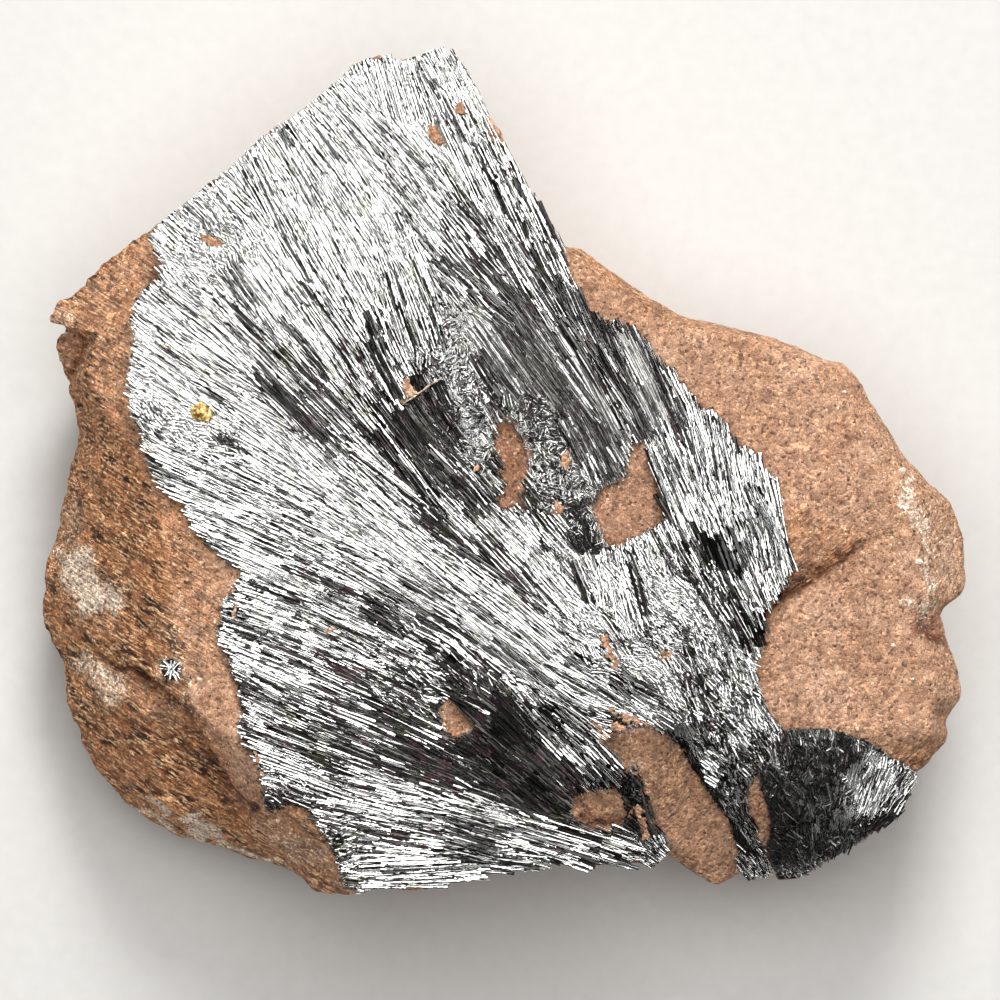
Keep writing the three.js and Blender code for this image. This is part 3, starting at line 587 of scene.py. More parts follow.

# Lanes of soot along the blades, partly painted shade between them, and bundles that stand dull beside bright
# ones, as painted shade and painted sheen.
SOOT_AND_PAINTED_LANES = marks(
    (((-23.0, 8.0), (-17.1, 1.7), (-15.5, 2.5), (-21.8, 8.4)), 0.0, 0.9),
    (-22.4, 12.7, -20.2, 10.3, 0.6, 0.1, 0.8), (-20.2, 10.3, -15.2, 5.6, 0.4, 0.15, 0.75),
    (-15.4, 5.6, -8.8, -1.8, 0.5, 0.05, 0.8),
    (((-10.9, 6.0), (-6.0, 0.2), (-3.4, 2.2), (-6.1, 9.3)), 0.04, 0.9),
    (-27.9, 3.4, -24.4, 1.2, 0.5, -0.2, 0.8), (-20.0, 12.6, -15.8, 8.0, 0.35, 0.0, 0.7),
    (-22.4, 18.5, -18.0, 12.6, 0.3, 0.1, 0.6), (3.2, 12.2, 6.6, 7.4, 0.5, -0.3),
    (8.4, 16.8, 12.4, 10.0, 0.5, -0.3), (11.4, 9.6, 14.0, 4.4, 0.6, -0.3),
    (16.4, 6.6, 18.8, 2.4, 0.45, -0.2), (-18.6, -26.6, -10.0, -30.0, 0.45, 0.0, 0.7),
    (-13.0, -29.0, -4.0, -32.6, 0.4, 0.0, 0.7), (-23.6, -22.2, -15.0, -25.6, 0.45, 0.05, 0.68),
    (-24.4, -26.0, -18.4, -28.0, 0.4, 0.0, 0.7), (-19.6, -33.2, -8.4, -35.4, 0.35, 0.1, 0.6),
    (-13.4, -13.8, -6.0, -18.2, 0.4, 0.0, 0.55), (-24.0, -8.4, -14.0, -12.0, 0.3, 0.1, 0.5),
    (-22.0, -17.4, -12.0, -21.0, 0.45, 0.05, 0.68), (19.6, -5.2, 22.0, -10.6, 0.35, 0.0, 0.6),
    (22.4, -1.0, 24.0, -7.4, 0.25, 0.0, 0.5), (17.8, -26.8, 21.3, -33.0, 0.4, -0.2, 0.85),
    (21.3, -33.0, 24.5, -37.7, 0.45, -0.2, 0.85), (-6.0, -5.0, 2.4, -9.6, 0.35, 0.1, 0.7),
    (-4.0, -8.0, 4.0, -12.6, 0.3, 0.1, 0.6), (6.0, -9.0, 12.6, -17.4, 0.35, 0.1, 0.7),
    (-2.0, -10.4, 7.4, -17.0, 0.3, 0.1, 0.6),
    # painted highlight on the broad pale cleavage steps beside the dark field
    (((7.8, 9.4), (8.6, 6.8), (10.2, 6.8), (9.2, 9.4)), 0.8, 0.8, 0.4),
    (((12.8, 12.0), (13.6, 7.4), (15.2, 7.4), (14.2, 12.4)), 0.85, 0.8, 0.4),
    (((14.0, 6.8), (14.8, 3.6), (16.4, 3.6), (15.6, 7.0)), 0.9, 0.85, 0.4),
    (((9.8, 5.8), (11.4, 2.8), (13.2, 3.4), (11.8, 6.2)), 0.55, 0.7, 0.4),
)

# How upset the blades lie: 0 in even sheaves, 1 where short ones stand every way.
TUMBLE = marks(
    (-31, 21, -28, 23, 3, 0.7), (-36, 6, -29, 3, 3, 0.7), (-5, 15, -3, 2, 2.2, 1.0),
    (-8, 11.4, -5.6, 11, 1.2, 0.9), (3.4, 5.4, 8, -6.4, 3.0, 1.0), (15, -13, 26, -26, 5, 0.95),
    (9, -16, 16, -20, 3.4, 0.85), (19, -27, 25, -39, 2.6, 0.92), (12.6, -29.6, 13.8, -37.6, 1.4, 0.85),
    (8, -11, 13, -14, 3, 0.55), (-22.5, -33, -15.5, -39, 2.6, 0.85), (-10, -20, -6, -21, 3.4, 0.6),
    (4, 30, -4, 36, 3, 0.3),
)

# Upset ground where the short blades stand every way, rather than nearly along the run.
WILD = marks(
    (-5, 15, -3, 2, 3.4), (3.4, 5.4, 8, -6.4, 4.2),
)

# Painted shade of clean blades turned away from the lamp: 0 where the dull blades are black with soot, 1
# where they are clean but painted grey as turned away.
TURNED_AWAY_PAINTED_SHADE = marks(
    (-1, 15, 10, 3, 5, 0.7), (6, 16, 14, 8, 3, 0.5), (-9, 5, -3, -1, 3, 0.3), (14, -14, 26, -26, 5, 0.02),
    (19, -27, 25, -39, 2.6, 0.06), (12.6, -29.6, 13.8, -37.6, 1, 0.4), (-25, 8, -16, 4, 3, 0.3),
    (-5, 14, -3, 3, 1.9, 0.05), (3.4, 4.6, 6, -5, 2.0, 0.05),
    (((7.8, 9.4), (8.6, 6.8), (10.2, 6.8), (9.2, 9.4)), 1.0, 1.0, 0.4),
    (((12.8, 12.0), (13.6, 7.4), (16.4, 3.6), (15.6, 7.0), (14.2, 12.4)), 1.0, 1.0, 0.4),
)

# How strongly whole bundles differ from their neighbours in painted sheen, at random.
BANDS = marks(
    (-24, 12, -12, 2, 5, 0.26), (-24, -14, -8, -22, 6, 0.16), (-22, -33, 8, -37, 5, 0.16),
    (-4, -14, 10, -22, 4, 0.18), (18, 2, 26, -8, 5, 0.2),
)

# Gaps between bundles, where the upper blades have come away or never met.
GAPS = marks(
    # the ledge left of the middle: a clean break across the blades, and the dark side beyond it
    (-10.9, 6.2, -6.2, 9.3, 0.16), (-6.0, 9.0, -4.0, 3.6, 0.22), (-9.6, 8.0, -9.4, 8.8, 0.7),
    # short breaks across the blades
    (-16.9, 1.9, -15.4, 3.1, 0.12), (-24.2, 16.2, -22.9, 17.2, 0.08), (-19.8, 14.4, -18.2, 15.5, 0.08),
    (-22.4, 12.0, -20.6, 13.0, 0.1), (8.0, 17.2, 9.6, 17.9, 0.12), (14.4, 3.4, 16.2, 4.8, 0.12),
    # the odd open gap between bundles
    (-18.4, 4.4, -16.8, 2.6, 0.45), (-21.7, 11.2, -20.8, 10.2, 0.3), (-20.0, 10.0, -18.9, 8.6, 0.28),
    (-15.9, -26.0, -12.9, -27.2, 0.2), (-12.0, -29.4, -8.0, -31.2, 0.24), (-6.0, -26.4, -2.4, -29.4, 0.3),
)

# Sand caught between the blades; the lower the value, the paler the dust.
SAND = marks(
    (-6.9, 34.0, -6.1, 33.2, 0.6), (-4.9, 35.8, -4.0, 36.2, 0.5), (-1.5, 34.4, -0.9, 33.2, 0.3),
    (16.2, -18.2, 16.2, -18.4, 0.5), (10, -16.4, 11.3, -19.3, 0.34), (-33.5, 12.8, -33.3, 12.6, 0.42),
    (-29.6, 23.2, -28, 22.8, 0.4), (6.3, 1.0, 6.3, 1.4, 0.5), (5.6, -3.7, 5.7, -3.5, 0.46),
    (-17.2, -15.8, -17, -15.6, 0.3), (-2.6, 0.2, -2.4, 0.5, 0.3), (10.8, -23.8, 11.2, -24, 0.3),
    (13.2, -24.6, 14.2, -24.9, 0.34), (13.4, -33.6, 14.5, -36.4, 0.42), (8.2, -24.6, 9.8, -25.6, 0.4),
    (10.7, -27.2, 11.9, -28.5, 1.0, 0.9),
    # along the crust's near left edge
    (-26.9, -20.4, -26.3, -22.8, 0.26, 0.6), (-26.5, -12.6, -26.7, -14.6, 0.2, 0.6),
    (-24.7, -27.6, -24.0, -30.4, 0.25, 0.6), (11.2, -25.4, 12.2, -25.8, 0.36),
    (12.0, -24.3, 15.8, -25.2, 0.42, 0.9), (((-9.8, 9.7), (-10.5, 6.6), (-8.6, 8.0)), 0.62, 1.0, 0.6),
    (-10.9, 6.1, -6.1, 9.4, 0.09, 0.15),
)

# Bare rock: 1 where a bruise or dust has whitened it.
BRUISES = marks(
    (-42.4, -9.8, -40.4, -12.2, 2.4, 0.9), (-43.6, -3.6, -42.8, -6.0, 1.6, 0.45),
    (-41.2, -19.8, -37.8, -22.0, 1.5, 0.7), (-33.4, -14.6, -34.4, -16.8, 0.9, 0.35),
    (-35.4, -32, -34.2, -33.8, 0.8, 0.84), (-31.6, -34.6, -26.6, -37.4, 0.9, 0.84),
    (-38.0, -33.4, -32.4, -36.4, 0.4, 0.8), (-26.6, -37.6, -22.6, -39.4, 0.4, 0.8),
    (-22.6, -35.4, -18, -38.8, 1.3, 0.5), (43.0, -4.0, 44.6, -11.4, 1.9, 0.36),
    (40.2, -1.4, 41.9, -5.0, 1.1, 0.75), (41.9, -5.0, 42.2, -12.4, 0.6, 0.72),
    (41.4, -13.6, 42.8, -13.8, 1.0, 0.8), (-45, 14.6, -43.4, 15.6, 0.8, 0.5),
    (-32.4, -12.4, -31.6, -17, 0.7, 0.4), (-31, -20.4, -29.8, -24.4, 0.9, 0.4),
)

# Bare rock in the windows and on the step, with some of the flank's rust; on the step's slope and along its
# foot the darker rust is painted shade.
HALF_FRESH_AND_PAINTED_SHADE = marks(
    (13.4, 0, 13, -6, 4, 0.2), (1, 4, 1, -3, 3, 0.2),
    (((29.0, -2.7), (24.5, -13.5), (26.0, -14.6), (36.0, -6.4)), 0.5, 0.85, 1.0),
    (26.3, -13.9, 34.4, -7.6, 0.6, 0.8), (-33, -5, -30.4, -17, 2.8, 0.4),
)

# Fresh break among the old faces: at the near edge, and along the crust's left rim.
NEAR_EDGE = marks(
    (12, -28, 21, -39, 9, 0.7), (-30.0, -19, -27.6, -24.8, 2.0, 0.55),
    (-27.4, -25, -24.4, -33.4, 1.5, 0.9), (-22.2, -34, -17.2, -40.4, 2.6, 0.3),
)

# Darker marks, deeper than the rest, partly iron staining and partly painted shade: darker on the windows'
# floors, and painted shade on the step of the right side and in the hollow near the right edge.
STAINS_AND_PAINTED_SHADE = marks(
    (13.4, 0, 13, -6, 4, 0.26), (1, 4, 1, -3, 3, 0.5), (-4.4, -24.4, -4.4, -24.4, 2.4, 0.3),
    (((29.0, -2.7), (24.5, -13.5), (26.0, -14.6), (36.0, -6.4)), 0.1, 1.0, 1.0),
    (26.3, -13.9, 34.4, -7.6, 0.5, 0.4), (41.8, -15.0, 43.2, -16.4, 1.1, 1.0),
    # painted shade along the flank's creases, with a dark iron film
    (-40.2, -18.1, -34.9, -21.1, 0.4, 1.0), (-34.4, -21.6, -30.2, -25.8, 0.3, 0.7),
    (-29.6, -27, -27.5, -31.4, 0.35, 0.8), (-27.5, -31.4, -24.6, -33.8, 0.4, 1.0),
    # painted shade along the crease of the round lump near the lower edge
    (7.5, -34.2, 8.8, -34.3, 0.22, 1.0), (8.8, -34.3, 10.0, -34.9, 0.22, 1.0),
    (10.0, -34.9, 12.1, -34.9, 0.22, 1.0),
    # small cracks and pits, drawn only as darker colour
    (33.0, -1.9, 33.7, -2.8, 0.3, 0.9), (36.7, -4.6, 36.9, -4.7, 0.3, 0.8),
    (34.0, 4.6, 34.2, 3.4, 0.3, 0.6), (29.4, -22.6, 29.8, -23.0, 0.3, 0.6),
)


# White quartz grains in the bare rock: x, y and width in millimetres.
QUARTZ = [
    (39.9, 0.1, 0.9), (41.6, -8.9, 1.0), (34.1, 8.0, 0.6), (33.5, 6.4, 0.35), (27.0, 13.5, 0.35),
    (39.0, -17.2, 0.4), (41.0, -20.6, 0.4), (30.6, -21.8, 0.35), (35.5, -25.6, 0.4), (36.2, 4.0, 0.3),
    (-40.9, 9.0, 0.4), (-37.5, 18.2, 0.35), (29.4, 1.0, 0.3), (44.9, -15.4, 0.4),
]


@dataclass(frozen=True)
class Fold:
    """A crease in the rock: the face falls towards it from its left side and stands up again beyond.

    Sizes are in millimetres. The fall fades over a share of the crease's length at each end.
    """

    points: tuple[tuple[float, float], ...]
    depth: float
    width: float
    wall: float = 0.35
    fade_in: float = 0.12
    fade_out: float = 0.45

    def fall(self, x: np.ndarray, y: np.ndarray) -> np.ndarray:
        """Measures how far the face has fallen at each place.

        Args:
            x: Places across, in millimetres.
            y: Places along, in millimetres.

        Returns:
            The fall in millimetres.
        """
        fallen = np.zeros(x.shape)
        spans = list(zip(self.points, self.points[1:]))
        for order, ((ax, ay), (bx, by)) in enumerate(spans):
            dx, dy = bx - ax, by - ay
            long = math.hypot(dx, dy)
            share = ((x - ax) * dx + (y - ay) * dy) / long**2
            side = ((y - ay) * dx - (x - ax) * dy) / long
            whole = (order + np.clip(share, 0, 1)) / len(spans)
            ends = np.clip(whole / self.fade_in, 0, 1) * np.clip((1 - whole) / self.fade_out, 0, 1)
            inside = (share > -0.15) & (share < 1.15)
            slope = np.where(side > 0, 1 - side / self.width, 1 + side / self.wall)
            fallen = np.maximum(fallen, inside * ends * np.clip(slope, 0, 1) ** 1.4)
        return self.depth * fallen


# The creases that are too fine for the solid.
FOLDS = [
    Fold(((22.0, -17.6), (31.0, -11.2), (41.5, -4.0)), 0.6, 8.0),
    Fold(((-24.4, -35.0), (-27.6, -31.6), (-30.0, -26.6), (-33.6, -22.0)), 1.2, 5.0, 1.0),
    Fold(((-30.6, -24.6), (-34.4, -21.4), (-40.6, -18.0)), 1.6, 4.0, 0.6),
    Fold(((43.8, -16.6), (42.6, -14.8), (42.6, -12.8)), 1.0, 2.4),
    Fold(((7.6, -34.0), (10.0, -35.4), (12.2, -34.6)), 0.7, 1.5, 0.5),
]


class CrustPlan:
    """A crust seen from above: the ground it covers, its height, and the gaps between its blades."""

    cell = 0.15
    half = 50.0
    widest = 1.05
    stub = 1.2

    def __init__(self, mesh: bpy.types.Mesh) -> None:
        """Measures the crust's height over a fine grid.

        Args:
            mesh: The crust's mesh, in metres.
        """
        wide = int(2 * self.half / self.cell) + 1
        self.height = np.full((wide, wide), -np.inf)
        mesh.calc_loop_triangles()
        corners = np.empty(len(mesh.loop_triangles) * 3, dtype=np.int32)
        mesh.loop_triangles.foreach_get("vertices", corners)
        places = rows(mesh.vertices, "co") / MM
        places[:, :2] = (places[:, :2] + self.half) / self.cell
        for triangle in places[corners].reshape(-1, 3, 3):
            self._fill(triangle)
        self.filled = np.isfinite(self.height)
        self.open = self.filled.copy()
        self.calm = self.filled.copy()
        self._smooth()

    def _fill(self, triangle: np.ndarray) -> None:
        """Raises the cells under a triangle.

        Args:
            triangle: Its corners, counted in cells across and along, and in millimetres up.
        """
        (ax, ay, az), (bx, by, bz), (cx, cy, cz) = triangle
        twice = (bx - ax) * (cy - ay) - (cx - ax) * (by - ay)
        if abs(twice) < 1e-6:
            return
        low = np.floor(triangle[:, :2].min(0)).astype(int)
        high = np.ceil(triangle[:, :2].max(0)).astype(int) + 1
        gx, gy = np.meshgrid(np.arange(low[0], high[0]), np.arange(low[1], high[1]))
        c = ((bx - ax) * (gy - ay) - (gx - ax) * (by - ay)) / twice
        b = ((gx - ax) * (cy - ay) - (cx - ax) * (gy - ay)) / twice
        covered = (b >= 0) & (c >= 0) & (b + c <= 1)
        tall = (az + (bz - az) * b + (cz - az) * c)[covered]
        cells = (gy[covered], gx[covered])
        self.height[cells] = np.maximum(self.height[cells], tall)

    def _smooth(self, reach: float = 1.6) -> None:
        """Finds the height and the facing of the top without its ridges.

        Args:
            reach: How far heights are evened out, in millimetres.
        """
        wide = len(self.height)
        across = np.fft.rfftfreq(wide)[None, :]
        along = np.fft.fftfreq(wide)[:, None]
        blur = np.exp(-2 * (math.pi * reach / self.cell) ** 2 * (across**2 + along**2))

        def evened(values: np.ndarray) -> np.ndarray:
            """Blurs a grid of values."""
            return np.fft.irfft2(np.fft.rfft2(values) * blur, s=values.shape)

        share = np.maximum(evened(self.filled.astype(float)), 1e-3)
        self.even = evened(np.where(self.filled, self.height, 0)) / share
        rise_y, rise_x = np.gradient(self.even, self.cell)
        facing = np.stack([-rise_x, -rise_y, np.ones_like(self.even)], axis=2)
        self.facing = facing / np.linalg.norm(facing, axis=2, keepdims=True)

    def cut(self, gaps: Marks, upset: Marks) -> None:
        """Opens gaps that no blade crosses, and marks upset ground that no long blade runs into.

        Args:
            gaps: The gaps.
            upset: Where the blades lie upset.
        """
        ruler = np.arange(len(self.height)) * self.cell - self.half
        x, y = ragged(*np.meshgrid(ruler, ruler), 0.14, 0.5)
        for gap in gaps:
            self.open &= gap.cover(x, y) < 0.5
        self.calm = self.open & (laid(*ragged(x, y, 0.8, 1.2), 0.0, upset) < 0.7)

    def room(self, x: np.ndarray, y: np.ndarray, heading: np.ndarray) -> np.ndarray:
        """Measures the room to the nearer side of a line, up to a millimetre."""
        left = self.reach(x, y, heading + math.pi / 2, self.widest, self.open)
        return np.minimum(left, self.reach(x, y, heading - math.pi / 2, self.widest, self.open))

    def cells(self, x: np.ndarray, y: np.ndarray) -> tuple[np.ndarray, np.ndarray]:
        """Finds the cells of places given in millimetres.

        Args:
            x: Places across.
            y: Places along.

        Returns:
            The cells' numbers along and across.
        """
        last = len(self.height) - 1
        i, j = (np.clip(((at + self.half) / self.cell).round().astype(int), 0, last) for at in (x, y))
        return j, i

    def run(self, x: np.ndarray, y: np.ndarray, heading: np.ndarray, longest: float) -> np.ndarray:
        """Measures how far a blade may run, through calm ground or for a stub over upset ground.

        Args:
            x: Starts across, in millimetres.
            y: Starts along, in millimetres.
            heading: Directions in radians.
            longest: Where to stop measuring, in millimetres.

        Returns:
            The distances in millimetres.
        """
        through = self.reach(x, y, heading, longest, self.calm)
        return np.where(self.calm[self.cells(x, y)], through, self.reach(x, y, heading, self.stub, self.open))

    def reach(
        self, x: np.ndarray, y: np.ndarray, heading: np.ndarray, longest: float, ground: np.ndarray
    ) -> np.ndarray:
        """Measures how far a line runs before it leaves some ground.

        Args:
            x: Starts across, in millimetres.
            y: Starts along, in millimetres.
            heading: Directions in radians.
            longest: Where to stop measuring, in millimetres.
            ground: The cells it may cross.

        Returns:
            The distances in millimetres.
        """
        far = np.full(x.shape, longest)
        inside = np.ones(x.shape, dtype=bool)
        for step in np.arange(self.cell, longest, self.cell):
            here = ground[self.cells(x + np.cos(heading) * step, y + np.sin(heading) * step)]
            far = np.where(inside & ~here, step, far)
            inside &= here
        return far


# ------------------------------------------------------------------ finishes


@dataclass(frozen=True)
class Sandstone:
    """Fine iron-stained sandstone, freshly broken.

    Quartz grains in a rusty clay cement: matt, sugary, with pale and dark grains and here and there a
    grain face that glints. Old joint faces are browner than the clean break. Sizes are in millimetres.
    """

    grain: float = 0.27
    beds: tuple[float, float, float] = (4.2, 0.7, 4)
    strands: tuple[float, float, float] = (1.3, 0.22, 2)
    relief: float = 0.26
    fresh: str = "#c8a186"
    blotched: str = "#b98f72"
    rusty: str = "#c08457"
    deep: str = "#4b2812"
    painted_groove_shade: str = "#2e1a0c"
    painted_strand_glint: str = "#fad2a4"
    # the tint of the darker marks: iron staining, and painted shade in the creases, the hollow, the cracks
    # and on the step
    stained: str = "#8a6650"
    knocked: str = "#dcc0a6"
    dust: str = "#f3e2cf"
    quartz: str = "#f0d0b0"
    ore: str = "#5a3a28"
    painted_pit_shade: str = "#4a2c1c"
    gain: float = 2.55

    def material(self) -> bpy.types.Material:
        """Builds the finish, for a mesh that carries flank, bruise, and iron staining with painted shade.

        Returns:
            The material.
        """
        made, node, place = started("broken_sandstone")
        flank, bruise, stain = (
            node("ShaderNodeAttribute", {"attribute_name": name}).outputs["Fac"]
            for name in ("flank", "bruise", "stain")
        )
        # noises over the whole rock, by their size and detail
        blotch, cloudy, patches, crumbs, fine, hollows, lumps = (
            node(NOISE, {}, {"Vector": place, "Scale": 1 / (size * MM), "Detail": detail, "Roughness": 0.6})
            for size, detail in ((7, 3), (1.3, 3), (2.6, 2), (0.38, 4), (0.13, 2), (0.55, 1), (0.6, 3))
        )
        # bedding shows on the flanks as beds and finer strands; on the step of the right side they
        # run the other way
        across = node(SEPARATE, {}, (place,)).outputs["X"]
        swing = node(RANGE, {}, (across, 15 * MM, 16 * MM, math.radians(35), math.radians(-37)))
        turned = node(
            "ShaderNodeVectorRotate",
            {"rotation_type": "EULER_XYZ"},
            {"Vector": place, "Rotation": node(COMBINE, {}, (0.3, 0.25, swing))},
        )
        beds, strands = (
            node(
                NOISE,
                {},
                {
                    "Vector": node(
                        VECTOR_MATH,
                        TIMES,
                        (turned, (1 / (long * MM), 1 / (thick * MM), 1 / (2.2 * thick * MM))),
                    ),
                    "Scale": 1.0,
                    "Detail": detail,
                    "Roughness": 0.6,
                },
            )
            for long, thick, detail in (self.beds, self.strands)
        )
        rust = self.deep
        # on the flanks the strands' crests are painted golden as glints, and their grooves painted dark as
        # shade
        for rise, colour in (
            ((beds, 0.42, 0.55), self.rusty),
            ((strands, 0.54, 0.59, 0, 0.95), self.painted_strand_glint),
            ((strands, 0.46, 0.41, 0, 0.6), self.painted_groove_shade),
            ((patches, 0.42, 0.62, 0, 0.6), self.rusty),
        ):
            rust = node(MIX, OVERLAID, {"Factor": node(RANGE, {}, rise), 6: rust, 7: colour})
        # crushed grains whiten where the edge was knocked
        dented = node(MATH, PLUS, (node(MATH, TIMES, (crumbs, 2.6)), bruise))
        crushed = node(
            MATH, TIMES, (node(RANGE, {}, (dented, 1.9, 2.1)), node(RANGE, {}, (bruise, 0.05, 0.3)))
        )
        # single grains: each cell is one grain with its own shade
        grains = node("ShaderNodeTexVoronoi", {}, {"Vector": place, "Scale": 1 / (self.grain * MM)})
        shade = node("ShaderNodeSeparateColor", {}, (grains.outputs["Color"],)).outputs
        greys = [(0.0, "#74706e"), (0.14, "#a8a6a4"), (0.5, "#bcbab8"), (0.86, "#cbc9c6"), (1.0, "#f2ece4")]
        speck = node(RAMP, {"stops": greys}, (shade["Red"],))
        dim = node(RAMP, {"stops": [(0.3, "#aeaaa8"), (0.6, "#ffffff")]}, (fine,))
        dull = node(RAMP, {"stops": [(0.34, "#d2ccc8"), (0.6, "#ffffff")]}, (cloudy,))
        base = self.fresh
        for blend, share, layer in (
            (OVERLAID, node(RANGE, {}, (blotch, 0.36, 0.64)), self.blotched),
            (OVERLAID, flank, rust),
            # iron staining, and painted shade in the creases, the hollow, the cracks and on the step
            (SHADED, stain, self.stained),
            (OVERLAID, node(RANGE, {}, (bruise, 0.1, 0.8, 0, 0.3)), self.knocked),
            (OVERLAID, crushed, self.dust),
            (SHADED, 1.0, speck),
            (SHADED, 1.0, dim),
            (SHADED, 1.0, dull),
        ):
            base = node(MIX, blend, {"Factor": share, 6: base, 7: layer})
        base = node(VECTOR_MATH, SCALED, {0: base, "Scale": self.gain})
        # pale quartz grains, dark ore grains, and open pits where grains have fallen out, painted dark as
        # their shade
        glassy = node(RANGE, {}, (shade["Green"], 0.955, 0.97))
        pale = node(MATH, TIMES, (glassy, node(RANGE, {}, (fine, 0.42, 0.56, 0, 0.65))))
        dark = node(RANGE, {}, (shade["Blue"], 0.965, 0.975, 0, 0.6))
        pits = node(RANGE, {}, (hollows, 0.735, 0.76))
        for share, colour in (
            (pale, self.quartz),
            (dark, self.ore),
            (node(MATH, TIMES, (pits, 0.8)), self.painted_pit_shade),
        ):
            base = node(MIX, OVERLAID, {"Factor": share, 6: base, 7: colour})
        bedded = node(MATH, PLUS, (node(MATH, TIMES, (beds, 3.2)), node(MATH, TIMES, (strands, 2.6))))
        height = node(MATH, TIMES, (grains.outputs["Distance"], -0.4))
        for relief, weight in ((fine, 0.35), (lumps, 1.0), (pits, -0.8), (bedded, flank)):
            height = node(MATH, PLUS, (height, node(MATH, TIMES, (relief, weight))))
        glint = node(RANGE, {}, (shade["Green"], 0.95, 0.97, 0.88, 0.5))
        surfaced(
            node,
            {"Base Color": base, "Roughness": glint},
            {"Strength": 0.7, "Distance": self.relief * MM, "Height": height},
        )
        return made


@dataclass(frozen=True)
class Pyrolusite:
    """Pyrolusite, manganese dioxide, in cleaved blades.

    A steel-grey mineral with a silky metallic sheen: clean blades shine like brushed steel, sooty
    ones are almost black, and soot lines the gap along every blade, as painted shade between the
    blades. Which blades are clean is settled blade by blade; the share of clean, bright blades at
    each place is partly soot and partly painted sheen and painted shade.
    """

    name: str = "bladed_pyrolusite"
    clean: str = "#f1f1ee"
    cast: str = "#cfcdb9"
    grey: str = "#6e6d6a"
    # painted shade: the grey of clean blades painted as turned away from the lamp
    satin: str = "#8b8a86"
    shadow: str = "#1d1c1b"
    # the soot colours also paint the shade in the gaps between the blades
    soot: str = "#161514"
    brown_soot: str = "#2a1a1b"
    olive_soot: str = "#212115"
    roughness: float = 0.24

    def material(self) -> bpy.types.Material:
        """Builds the finish for blades that carry their painted sheen with soot, their chance, their painted
        turned-away shade and a UV map.

        The map's first part runs along the blade, and its second across: from -1 to 1 over the
        flat, and beyond 1 down the sides.

        Returns:
            The material.
        """
        made, node, place = started(self.name)
        lustre, chance, satin = (
            node("ShaderNodeAttribute", {"attribute_name": name}).outputs["Fac"]
            for name in ("lustre", "chance", "satin")
        )
        uv = node(SEPARATE, {}, (node("ShaderNodeUVMap", {"uv_map": "along"}),)).outputs
        own = node(MATH, TIMES, (chance, 90.0))
        # noises that belong to the blade, by their number along and across it, and their detail
        edges, spots, striae = (
            node(
                NOISE,
                {},
                {
                    "Vector": node(
                        COMBINE,
                        {},
                        (node(MATH, TIMES, (uv["X"], u)), node(MATH, TIMES, (uv["Y"], v)), own),
                    ),
                    "Scale": 1.0,
                    "Detail": detail,
                },
            )
            for u, v, detail in ((15.0, 0.25, 3.0), (30.0, 1.2, 2.0), (2.4, 1.3, 3.0))
        )
        # soot and painted shade along the blade's edges, in a wandering line, and in the odd pit
        wander = node(MATH, TIMES, (node(MATH, LESS, (edges, 0.5)), 2.1))
        rim = node(MATH, PLUS, (node(MATH, {"operation": "ABSOLUTE"}, (uv["Y"],)), wander))
        gap = node(MATH, MOST, (node(RANGE, {}, (rim, 0.48, 0.62)), node(RANGE, {}, (spots, 0.63, 0.67))))
        # blades painted as turned away run together, with few painted gaps of shade between them
        gap = node(MATH, TIMES, (gap, node(RANGE, {}, (satin, 0.5, 1.0, 1.0, 0.6))))
        # a blade is painted clean and bright when its chance falls under the painted sheen of the place
        streaky = node(MATH, TIMES, (node(MATH, LESS, (striae, 0.5)), 0.7))
        margin = node(MATH, PLUS, (node(MATH, LESS, (lustre, chance)), streaky))
        clean_and_painted_bright = node(RANGE, {}, (margin, -0.05, 0.05))
        tint = node(NOISE, {}, {"Vector": place, "Scale": 1 / (1.6 * MM), "Detail": 2.0})
        soots = [(0.34, self.brown_soot), (0.46, self.soot), (0.56, self.soot), (0.7, self.olive_soot)]
        soot = node(RAMP, {"stops": soots}, (tint,))
        warmth = node(RANGE, {}, (tint, 0.5, 0.72, 0, 0.5))
        bright = node(MIX, OVERLAID, {"Factor": warmth, 6: self.clean, 7: self.cast})
        # painted shade: where blades are marked as turned away, bright ones are painted towards grey and
        # sooty ones lifted to a soft grey
        dulled = node(MATH, TIMES, (satin, 0.85))
        bright = node(MIX, OVERLAID, {"Factor": dulled, 6: bright, 7: self.satin})
        shine = node(RANGE, {}, (striae, 0.42, 0.66, 0, 0.5))
        dull = node(MIX, OVERLAID, {"Factor": shine, 6: soot, 7: self.grey})
        sheen = node(RANGE, {}, (striae, 0.38, 0.66))
        soft = node(MIX, OVERLAID, {"Factor": sheen, 6: self.shadow, 7: self.satin})
        colour = dull
        for share, layer in ((satin, soft), (clean_and_painted_bright, bright), (gap, soot)):
            colour = node(MIX, OVERLAID, {"Factor": share, 6: colour, 7: layer})
        surfaced(
            node,
            {
                "Base Color": colour,
                "Metallic": 0.97,
                "Roughness": node(MATH, PLUS, (self.roughness, node(MATH, TIMES, (gap, 0.2)))),
            },
            {"Strength": 0.3, "Distance": 0.03 * MM, "Height": node(MATH, LESS, (striae, gap))},
        )
        return made


@dataclass(frozen=True)
class Silk(Pyrolusite):
    """The same mineral in a fine-grained spray: dark grey and silky rather than bright."""

    name: str = "silky_pyrolusite"
    # painted light: the spray's turned-away blades are painted a lighter grey, since they mirror little of
    # the lamp
    satin: str = "#b9b7b1"
    roughness: float = 0.36


